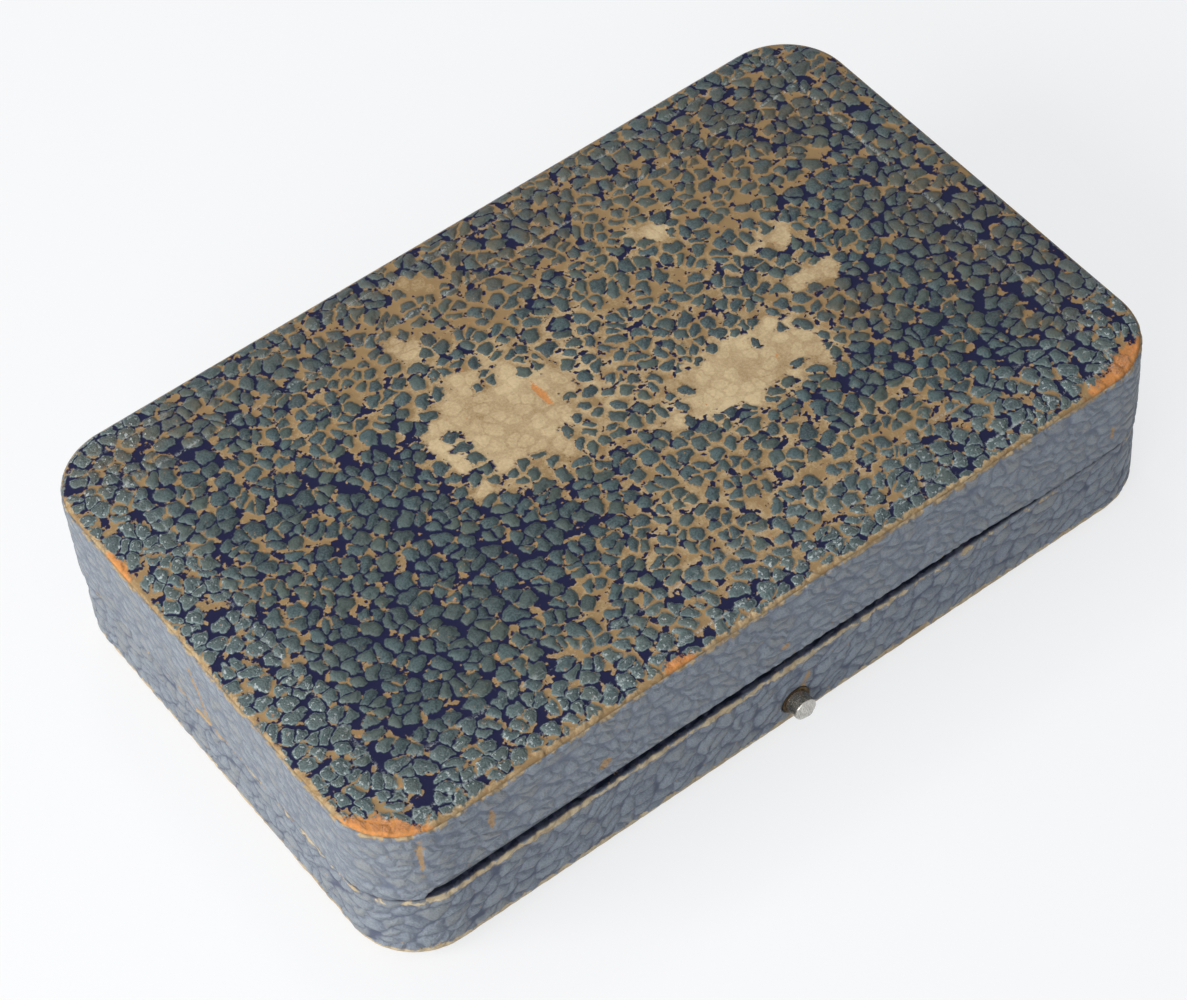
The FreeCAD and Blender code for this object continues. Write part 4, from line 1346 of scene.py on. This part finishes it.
@dataclass
class Tray:
    """The velvet over the fitted tray."""

    finish: VelvetFinish = VelvetFinish("tray_velvet_napped")
    step: float = 0.44
    thickness: float = 0.45
    wall: float = 1.0           # width over which the pile rounds into a recess
    lip: float = 0.25
    end_margin: float = 3.5
    deep: float = 5.0
    shallow: float = 6.3
    radii: tuple[float, ...] = (8.0, 7.4, 3.8, 3.8)
    tips: tuple[float, ...] = (4.6, 4.4, 3.8, 3.8)
    lead_length: float = 44.0
    lead_key_rib: float = 7.0
    well_radius: float = 16.0
    well_floor: float = 7.7
    well_rib: float = 3.0
    well_blunt: float = 0.35    # roundness of the well's edges
    border_drop: float = 0.35   # the pile rounds down at the tray's edge
    border_reach: float = 0.9
    rub: float = 0.9            # at the recesses' lips
    rub_place: float = 0.3
    rub_reach: float = 0.8
    cut: Span = (0.15, 0.084)   # the velvet before it was pressed in, in metres

    def recesses(self, low: Vector, high: Vector) -> list[Recess]:
        """Where the recesses lie between the tray's corners.

        Args:
            low: The velvet's lowest corner.
            high: The velvet's highest corner.

        Returns:
            The recesses, front row first.
        """
        rib = (high.y - low.y - 2 * sum(self.radii)) / (len(self.radii) + 1)
        rows = [low.y + rib * (place + 1) + 2 * sum(self.radii[:place]) + radius
                for place, radius in enumerate(self.radii)]
        end = high.x - self.end_margin
        lead = -end + self.lead_length
        runs = [(0, -end, end, self.deep), (1, end, -end, self.deep), (2, -end, end, self.shallow),
                (3, -end, lead, self.shallow), (3, lead + self.lead_key_rib, end, self.shallow)]
        return [Recess(rows[row], start, self.radii[row], stop, self.tips[row], floor)
                for row, start, stop, floor in runs]

    def build(self) -> bpy.types.Object:
        """The lining as one soft-edged skin.

        Returns:
            The piece.
        """
        low, high = corners("tray_velvet")
        x, y = np.meshgrid(np.linspace(low.x, high.x, int((high.x - low.x) / self.step)),
                           np.linspace(low.y, high.y, int((high.y - low.y) / self.step)))
        z, rub = np.full(x.shape, high.z), np.zeros(x.shape)
        spots = self.recesses(low, high)
        for spot in spots:
            gap = spot.distance(x, y)
            z = np.minimum(z, high.z - (high.z - spot.floor) * (1 - smooth(gap, -self.wall, self.lip)))
            rub = np.maximum(rub, self.rub * hump(gap - self.rub_place, self.rub_reach))
        front = spots[0].row - self.radii[0] + self.well_rib
        back = spots[2].row + self.radii[2]
        bowl = self.well_floor + self.well_radius - np.sqrt(np.maximum(self.well_radius ** 2 - x ** 2, 0))
        ends = smooth(np.maximum(front - y, y - back), -self.wall, self.lip)
        well = bowl + (high.z - bowl) * ends
        z = np.minimum(z, -self.well_blunt * np.logaddexp(-high.z / self.well_blunt, -well / self.well_blunt))
        border = np.minimum.reduce([x - low.x, high.x - x, y - low.y, high.y - y])
        z = np.minimum(z, high.z - self.border_drop * (1 - smooth(border, 0.0, self.border_reach)))
        points = np.stack([x, y, z], axis=-1).reshape(-1, 3)
        faces = grid_faces(*x.shape, flip=True).tolist()
        piece = mesh_piece("tray_lining", points, faces, rub=rub.ravel())
        shell = piece.modifiers.new("Pile", "SOLIDIFY")
        shell.thickness, shell.offset = self.thickness * MM, -1.0
        settle(piece)
        piece.data.materials.append(self.finish.dress())
        return report(piece, "base", "tray_velvet", "tray_velvet")


@dataclass
class LidPad:
    """The satin pad in the lid, blown up as cloth over its wadding."""

    finish: SatinFinish = SatinFinish("pad_satin_aged")
    voxel: float = 1.1
    start_inset: float = 0.35
    corner: float = 3.2         # bevel of the upright edges
    corner_cuts: int = 5
    bevel: float = 1.2          # of the lower rim
    bevel_cuts: int = 4
    cap: float = 0.55           # how far a point may swell
    pressure: float = 4.0
    frames: int = 20
    glue: float = 0.4           # depth of the edge that is stuck to the card
    scale_up: float = 10.0      # the cloth is solved at this many times its size
    tolerance: float = 0.01
    plan_radius: float = 4.0
    pucker: float = 0.14
    pucker_pitch: float = 4.2
    pucker_place: float = 1.6   # in from the pad's edge
    pucker_reach: float = 2.2
    long_edge: float = 12.0     # width beside a long edge in which the puckers follow it
    plan_squash: float = 0.55   # evens out the angles round the long pad
    wander: float = 1.7         # how far the puckers stray from their pitch, in radians
    wander_turns: int = 5       # how often they stray on the way round
    drift: float = 0.37         # of the pitch along an edge, in radians to the millimetre
    pucker_free: float = 1.0    # left unpuckered next to the card
    clearance: float = 0.02

    def block(self, low: Vector, high: Vector) -> bpy.types.Object:
        """The wadding as a rounded block, remeshed evenly.

        Args:
            low: The pad's lowest corner.
            high: The pad's highest corner.

        Returns:
            The block, at the size that the cloth is solved at.
        """
        form = bmesh.new()
        bmesh.ops.create_cube(form, size=1.0)
        inset = self.start_inset
        low, high = low + Vector((inset, inset, inset)), high - Vector((inset, inset, 0.0))
        for vertex in form.verts:
            share = vertex.co + Vector((0.5,) * 3)
            vertex.co = Vector(low[i] + (high[i] - low[i]) * share[i] for i in range(3))
        upright = [edge for edge in form.edges
                   if abs(edge.verts[0].co.z - edge.verts[1].co.z) > self.tolerance]
        bmesh.ops.bevel(form, geom=upright, offset=self.corner, segments=self.corner_cuts, profile=0.5,
                        affect="EDGES")
        rim = [edge for edge in form.edges if max(v.co.z for v in edge.verts) < low.z + self.tolerance]
        bmesh.ops.bevel(form, geom=rim, offset=self.bevel, segments=self.bevel_cuts, profile=0.5,
                        affect="EDGES")
        bmesh.ops.scale(form, vec=Vector((self.scale_up * MM,) * 3), verts=form.verts)
        piece = cast("lid_pad_satin", form)
        even = piece.modifiers.new("Even", "REMESH")
        even.mode, even.voxel_size = "VOXEL", self.voxel * self.scale_up * MM
        return settle(piece)

    def swell(self, piece: bpy.types.Object, top: float) -> None:
        """Blow the cloth up, held where it is glued to its card, and keep what moved.

        Args:
            piece: The block.
            top: Height of the card, at the solved size.
        """
        rest = places(piece.data)
        held = np.flatnonzero(rest[:, 2] > top - self.glue * MM * self.scale_up)
        glued = piece.vertex_groups.new(name="glued")
        glued.add(held.tolist(), 1.0, "REPLACE")
        cloth = piece.modifiers.new("Cloth", "CLOTH")
        cloth.settings.vertex_group_mass = "glued"
        cloth.settings.use_pressure = True
        cloth.settings.uniform_pressure_force = self.pressure
        cloth.settings.effector_weights.gravity = 0.0
        cloth.point_cache.frame_start, cloth.point_cache.frame_end = 1, self.frames
        for number in range(1, self.frames + 1):
            bpy.context.scene.frame_set(number)
        graph = bpy.context.evaluated_depsgraph_get()
        moved = places(piece.evaluated_get(graph).data) - rest
        piece.modifiers.clear()
        bpy.context.scene.frame_set(1)
        limit = self.cap * MM * self.scale_up
        length = np.linalg.norm(moved, axis=1, keepdims=True)
        moved *= np.minimum(1.0, limit / np.maximum(length, 1e-9))
        move(piece.data, rest + moved)

    def build(self) -> bpy.types.Object:
        """The pad, swollen, puckered at its edge and dressed.

        Returns:
            The piece.
        """
        low, high = corners("lid_pad")
        piece = self.block(low, high)
        self.swell(piece, high.z * MM * self.scale_up)
        smoother = piece.modifiers.new("Smooth", "SUBSURF")
        smoother.levels = smoother.render_levels = 1
        settle(piece)
        points = places(piece.data) / (MM * self.scale_up)
        middle = (low + high) / 2
        outline = Outline((high.x - low.x) / 2, (high.y - low.y) / 2, self.plan_radius)
        x, y = points[:, 0] - middle.x, points[:, 1] - middle.y
        beside_long = np.abs(y) > outline.half_width - self.long_edge
        way = np.where(beside_long, points[:, 0], points[:, 1])
        angle = np.arctan2(y, x * self.plan_squash)
        stray = self.wander * np.sin(angle * self.wander_turns) + np.sin(way * self.drift)
        fold = np.sin(way * 2 * math.pi / self.pucker_pitch + stray)
        near = hump(outline.depth(x, y) - self.pucker_place, self.pucker_reach)
        points[:, 2] += self.pucker * fold * near * (points[:, 2] < high.z - self.pucker_free)
        points = np.clip(points, np.array(low) + self.clearance, np.array(high))
        move(piece.data, points * MM)
        piece.data.shade_smooth()
        piece.data.materials.clear()
        piece.data.materials.append(self.finish.dress())
        return report(piece, "lid", "pad_satin", "lid_pad")


@dataclass
class Catch:
    """The push button and the latch spring."""

    columns: int = 56
    collar_step: float = 0.35   # of the collar beyond the stem
    collar_length: float = 0.9
    cone: float = 0.75          # length of the tapered end
    tip_share: float = 0.36     # radius of the end's flat, as a share of the stem's
    tip_round: Span = (0.08, 0.04)  # in and back from the end's edge
    cone_round: Span = (0.1, 0.14)  # in and forward from the shoulder
    shoulder_lip: float = 0.02
    shoulder_round: float = 0.08
    collar_gap: float = 0.12    # between the collar and the stem's last ring
    sharp: float = 38.0         # degrees from which an edge shows as one
    slices: float = 1.5         # the spring is cut across this often, in millimetres
    stem_pale: Colour = tint(168, 163, 152)
    stem_dark: Colour = tint(84, 77, 67)
    end_bright: Colour = tint(208, 206, 198)
    end_dark: Colour = tint(92, 90, 86)
    root: Colour = tint(120, 92, 54)

    def button(self) -> bpy.types.Object:
        """The button as a turned piece with a bright, worn end.

        Returns:
            The piece.
        """
        low, high = corners("push_button")
        axis_x, axis_z = (low.x + high.x) / 2, (low.z + high.z) / 2
        collar = (high.x - low.x) / 2
        stem = collar - self.collar_step
        collar_y = high.y - self.collar_length
        shoulder = low.y + self.cone
        tip = stem * self.tip_share
        tip_in, tip_back = self.tip_round
        cone_in, cone_forward = self.cone_round
        profile = [(0.0, low.y), (tip - tip_in, low.y), (tip, low.y + tip_back),
                   (stem - cone_in, shoulder - cone_forward),
                   (stem - self.shoulder_lip, shoulder - self.shoulder_lip),
                   (stem, shoulder + self.shoulder_round), (stem, collar_y - self.collar_gap),
                   (stem, collar_y), (collar, collar_y), (collar, high.y), (0.0, high.y)]
        points = np.array([(axis_x + r * math.cos(turn), y, axis_z + r * math.sin(turn))
                           for turn in np.linspace(0, 2 * math.pi, self.columns, endpoint=False)
                           for r, y in profile])
        faces = grid_faces(self.columns + 1, len(profile)) % len(points)
        piece = mesh_piece("button_worn", points, faces.tolist())
        form = bmesh.new()
        form.from_mesh(piece.data)
        bmesh.ops.remove_doubles(form, verts=form.verts, dist=WELD)
        bmesh.ops.recalc_face_normals(form, faces=form.faces)
        form.to_mesh(piece.data)
        form.free()
        piece.data.set_sharp_from_angle(angle=math.radians(self.sharp))
        piece.data.materials.append(self.nickel(shoulder))
        return report(piece, "button", "button_nickel", "push_button")

    def nickel(self, shoulder: float) -> bpy.types.Material:
        """Dark plate on the stem, worn to bright metal on the end.

        Args:
            shoulder: Where the bright end stops, along Y.

        Returns:
            The material.
        """
        pad = SurfacePad("button_nickel_worn")
        place = pad.place()
        _, y, _ = place.parts()
        cloud = pad.noise(place, 1.4, 5.0, 0.65, True)
        slanted = pad.add("ShaderNodeMapping", {}, {"Vector": place, "Rotation": (0.0, 0.6, 0.3),
                                                    "Scale": (9.0, 1.0, 1.2)})
        scratch = pad.noise(slanted, 1.6, 4.0, 0.7, True)
        pits = pad.noise(place, 7.0, 2.0, 0.6, True).step(0.6, 0.7)
        end = 1 - (y + (cloud - 0.5) * 0.12).step(shoulder - 0.1, shoulder + 0.05)
        stem = pad.mix((cloud - 0.35) * 1.8, self.stem_pale, self.stem_dark)
        bright = pad.mix((scratch - 0.38) * 2.4 + pits * 0.5, self.end_bright, self.end_dark)
        root = (y + (cloud - 0.5) * 0.6).step(shoulder + 1.2, shoulder + 2.1)
        colour = pad.mix(root * 0.5, pad.mix(end, stem, bright), self.root)
        return pad.finish(Base_Color=colour, Metallic=1 - root * 0.4,
                          Roughness=0.24 + pits * 0.2 + (scratch - 0.5) * 0.3,
                          Normal=pad.bump(scratch * 0.6 - pits * 0.5, 0.03))

    def spring(self, steel: bpy.types.Material) -> bpy.types.Object:
        """The latch spring, cut across at even steps along its length.

        Args:
            steel: Its finish.

        Returns:
            The piece.
        """
        low, high = corners("latch_spring")
        form = bmesh.new()
        form.from_mesh(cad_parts["latch_spring"].data)
        bmesh.ops.remove_doubles(form, verts=form.verts, dist=WELD)
        for x in np.arange(low.x + self.slices, high.x, self.slices):
            bmesh.ops.bisect_plane(form, geom=form.verts[:] + form.edges[:] + form.faces[:],
                                   plane_co=Vector((x * MM, 0, 0)), plane_no=Vector((1, 0, 0)))
        piece = cast("latch_spring_bent", form)
        piece.data.materials.clear()
        piece.data.materials.append(steel)
        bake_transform(piece)
        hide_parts("latch_spring")
        LOG.info("%s: %d faces between base and button", piece.name, len(piece.data.polygons))
        return piece


@dataclass
class Fittings:
    """The pieces that keep their own shape: wood, brass, steel, card and paper."""

    steel: MetalFinish = MetalFinish("spring_steel_dulled", tint(176, 178, 180), tint(86, 78, 70), 0.35,
                                     0.28)
    others: tuple[tuple[Finish, tuple[str, ...]], ...] = (
        (WoodFinish("carcass_wood_long", Grip.ALONG_X),
         ("base_board", "base_front_rail", "base_back_rail", "tray_block", "lid_board", "lid_front_rail",
          "lid_back_rail")),
        (WoodFinish("carcass_wood_cross", Grip.ALONG_Y),
         ("base_left_rail", "base_right_rail", "lid_left_rail", "lid_right_rail")),
        (MetalFinish("hinge_brass_tarnished", tint(206, 168, 98), tint(112, 82, 44), 0.45, 0.26),
         ("hinge_leaf_base_left", "hinge_leaf_base_right", "hinge_leaf_lid_left", "hinge_leaf_lid_right",
          "hinge_screws_base", "hinge_screws_lid", "keeper_plate", "keeper_screws")),
        (MetalFinish("ferrule_brass_browned", tint(132, 106, 66), tint(66, 52, 36), 0.75, 0.42),
         ("button_ferrule",)),
        (PaperFinish("pad_card_aged", tint(164, 146, 116), tint(118, 96, 66), 1.6), ("lid_pad_card",)),
        (PaperFinish("lining_paper_aged", tint(204, 190, 158), tint(160, 134, 94), 2.4),
         ("lid_wall_lining",)),
        (SoleFinish("sole_leatherette_rubbed"), ("base_bottom_cover",)))
    steel_nodes: tuple[str, ...] = ("latch_screws", "hinge_pin_left", "hinge_pin_right")

    def cover(self, finish: Finish, nodes: tuple[str, ...]) -> bpy.types.Material:
        """Give some nodes one finish.

        Args:
            finish: The finish.
            nodes: The nodes' names.

        Returns:
            The material that they share.
        """
        material = finish.dress()
        for name in nodes:
            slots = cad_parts[name].data.materials
            slots.clear()
            slots.append(material)
            LOG.info("%s: kept, dressed as %s", name, finish.name)
        return material

    def dress(self) -> bpy.types.Material:
        """Give each kept node its finish.

        Returns:
            The steel, which the spring has too.
        """
        for finish, nodes in self.others:
            self.cover(finish, nodes)
        return self.cover(self.steel, self.steel_nodes)


@dataclass(frozen=True)
class Lamp:
    """A square soft light that faces the case."""

    name: str
    place: tuple[float, float, float]
    size: float
    power: float                # watts
    colour: Colour

    def hang(self) -> None:
        """Put the light in the scene."""
        lamp = bpy.data.lights.new(self.name, "AREA")
        lamp.size, lamp.energy, lamp.color = self.size * MM, self.power, self.colour[:3]
        stand = link(self.name, lamp)
        stand.location = Vector(self.place) * MM
        stand.rotation_mode = "QUATERNION"
        stand.rotation_quaternion = (-Vector(self.place)).to_track_quat("-Z", "Y")


@dataclass
class Studio:
    """A pale table in soft light, and the camera at the photograph's angle."""

    azimuth: float = -32.76
    elevation: float = 51.37
    roll: float = -5.51
    distance: float = 469.32
    target: tuple[float, float, float] = (-2.44, 0.52, 10.0)
    lens: float = 113.06
    sensor: float = 36.0
    clip: Span = (0.01, 20.0)   # metres
    table_half: float = 1500.0
    table_gap: float = 0.02
    table_glow: float = 0.78
    table_cloth: Colour = tint(238, 239, 241)
    table_white: Colour = tint(247, 248, 249)
    under_case: Outline = Outline(55.0, 32.0, 6.0)
    under_step: float = 6.0
    sky: float = 0.3
    sky_tint: Colour = tint(250, 251, 255)
    backdrop: Colour = tint(246, 247, 249)
    lamps: tuple[Lamp, ...] = (
        Lamp("overhead", (-80.0, 60.0, 700.0), 620.0, 1.3, tint(255, 253, 250)),
        Lamp("left", (-590.0, 100.0, 340.0), 380.0, 3.7, tint(255, 250, 243)),
        Lamp("window", (-520.0, -330.0, 330.0), 300.0, 2.3, tint(246, 249, 255)),
        Lamp("glint", (120.0, 320.0, 610.0), 110.0, 0.45, tint(238, 244, 255)))

    def floor(self) -> None:
        """The table, pale to the camera, with the case's shadow, and open under the case and from below."""
        rim = self.under_case.trace(self.under_step)[0][:-1]
        reach = self.table_half / np.max(np.abs(rim), axis=1)
        points = np.concatenate([rim, rim * reach[:, None]])
        points = np.column_stack([points, np.full(len(points), -self.table_gap)])
        inner = np.arange(len(rim))
        outer = inner + len(rim)
        faces = np.column_stack([inner, outer, np.roll(outer, -1), np.roll(inner, -1)])
        table = mesh_piece("table", points, faces.tolist())
        pad = SurfacePad("table_white")
        shown = self.looked_at(pad) * self.table_glow
        cloth = pad.add("ShaderNodeBsdfDiffuse", {}, {"Color": self.table_cloth})
        glow = pad.add("ShaderNodeEmission", {}, {"Color": self.table_white, "Strength": 1.0})
        mixed = pad.add("ShaderNodeMixShader", {}, {0: shown, 1: cloth, 2: glow})
        below = pad.add("ShaderNodeNewGeometry", {}, {}, "Backfacing")
        clear = pad.add("ShaderNodeBsdfTransparent", {}, {})
        one_sided = pad.add("ShaderNodeMixShader", {}, {0: below, 1: mixed, 2: clear})
        pad.add("ShaderNodeOutputMaterial", {}, {"Surface": one_sided})
        table.data.materials.append(pad.material)

    def looked_at(self, pad: NodePad) -> Field:
        """Whether the camera sees the stage, straight on, in a reflection or through something.

        Args:
            pad: Where the nodes go.

        Returns:
            1 where it does.
        """
        straight = pad.add("ShaderNodeLightPath", {}, {}, "Is Camera Ray")
        reflected = straight.at_least(straight.sibling("Is Glossy Ray"))
        return reflected.at_least(straight.sibling("Is Transmission Ray"))

    def camera(self) -> None:
        """The camera, where the photograph was taken from."""
        turn, lift, roll = (math.radians(a) for a in (self.azimuth, self.elevation, self.roll))
        back = Vector((math.sin(turn) * math.cos(lift), -math.cos(turn) * math.cos(lift), math.sin(lift)))
        right = Vector((math.cos(turn), math.sin(turn), 0.0))
        up = back.cross(right)
        right_rolled = right * math.cos(roll) + up * math.sin(roll)
        up_rolled = up * math.cos(roll) - right * math.sin(roll)
        place = (Vector(self.target) + back * self.distance) * MM
        lens = bpy.data.cameras.new("photo_camera")
        lens.sensor_fit, lens.sensor_width, lens.lens = "HORIZONTAL", self.sensor, self.lens
        lens.clip_start, lens.clip_end = self.clip
        holder = link("photo_camera", lens)
        axes = Matrix((right_rolled, up_rolled, back)).transposed().to_4x4()
        holder.matrix_world = Matrix.Translation(place) @ axes
        bpy.context.scene.camera = holder

    def room(self) -> None:
        """The world: soft light on the case, and white where the camera looks past the table."""
        world = bpy.data.worlds.new("soft_room")
        world.use_nodes = True
        world.node_tree.nodes.clear()
        pad = NodePad(world.node_tree)
        soft = pad.add("ShaderNodeBackground", {}, {"Color": self.sky_tint, "Strength": self.sky})
        white = pad.add("ShaderNodeBackground", {}, {"Color": self.backdrop, "Strength": 1.0})
        mixed = pad.add("ShaderNodeMixShader", {}, {0: self.looked_at(pad), 1: soft, 2: white})
        pad.add("ShaderNodeOutputWorld", {}, {"Surface": mixed})
        bpy.context.scene.world = world

    def build(self) -> None:
        """Camera, floor, lights and world."""
        self.camera()
        self.floor()
        for lamp in self.lamps:
            lamp.hang()
        self.room()
        bpy.context.scene.view_settings.view_transform = "Standard"


def main() -> None:
    """Build the case's pieces in order, then the studio."""
    logging.basicConfig(level=logging.INFO, format="%(message)s")
    steel = Fittings().dress()
    TopSheet("lid_top_pebbled", "lid_top_cover", "lid", "top_leatherette", TOP_FINISH, TOP_WEAR).build()
    SideStrip("lid_side_pebbled", "lid_side_cover", "lid", "side_leatherette", LID_SIDE_FINISH,
              LID_SIDE_WEAR).build()
    SideStrip("base_side_pebbled", "base_side_cover", "base", "side_leatherette", BASE_SIDE_FINISH,
              BASE_SIDE_WEAR, half=Half.BASE, rub=BASE_RUB, outline=Outline(59.7, 36.7, 9.3), rim=13.2,
              height=13.0, bottom_round=2.2, bottom_turn=2.6, hole=(0.0, 5.0, 2.1)).build()
    Tray().build()
    LidPad().build()
    catch = Catch()
    catch.button()
    catch.spring(steel)
    Studio().build()


if __name__ == "__main__":
    main()
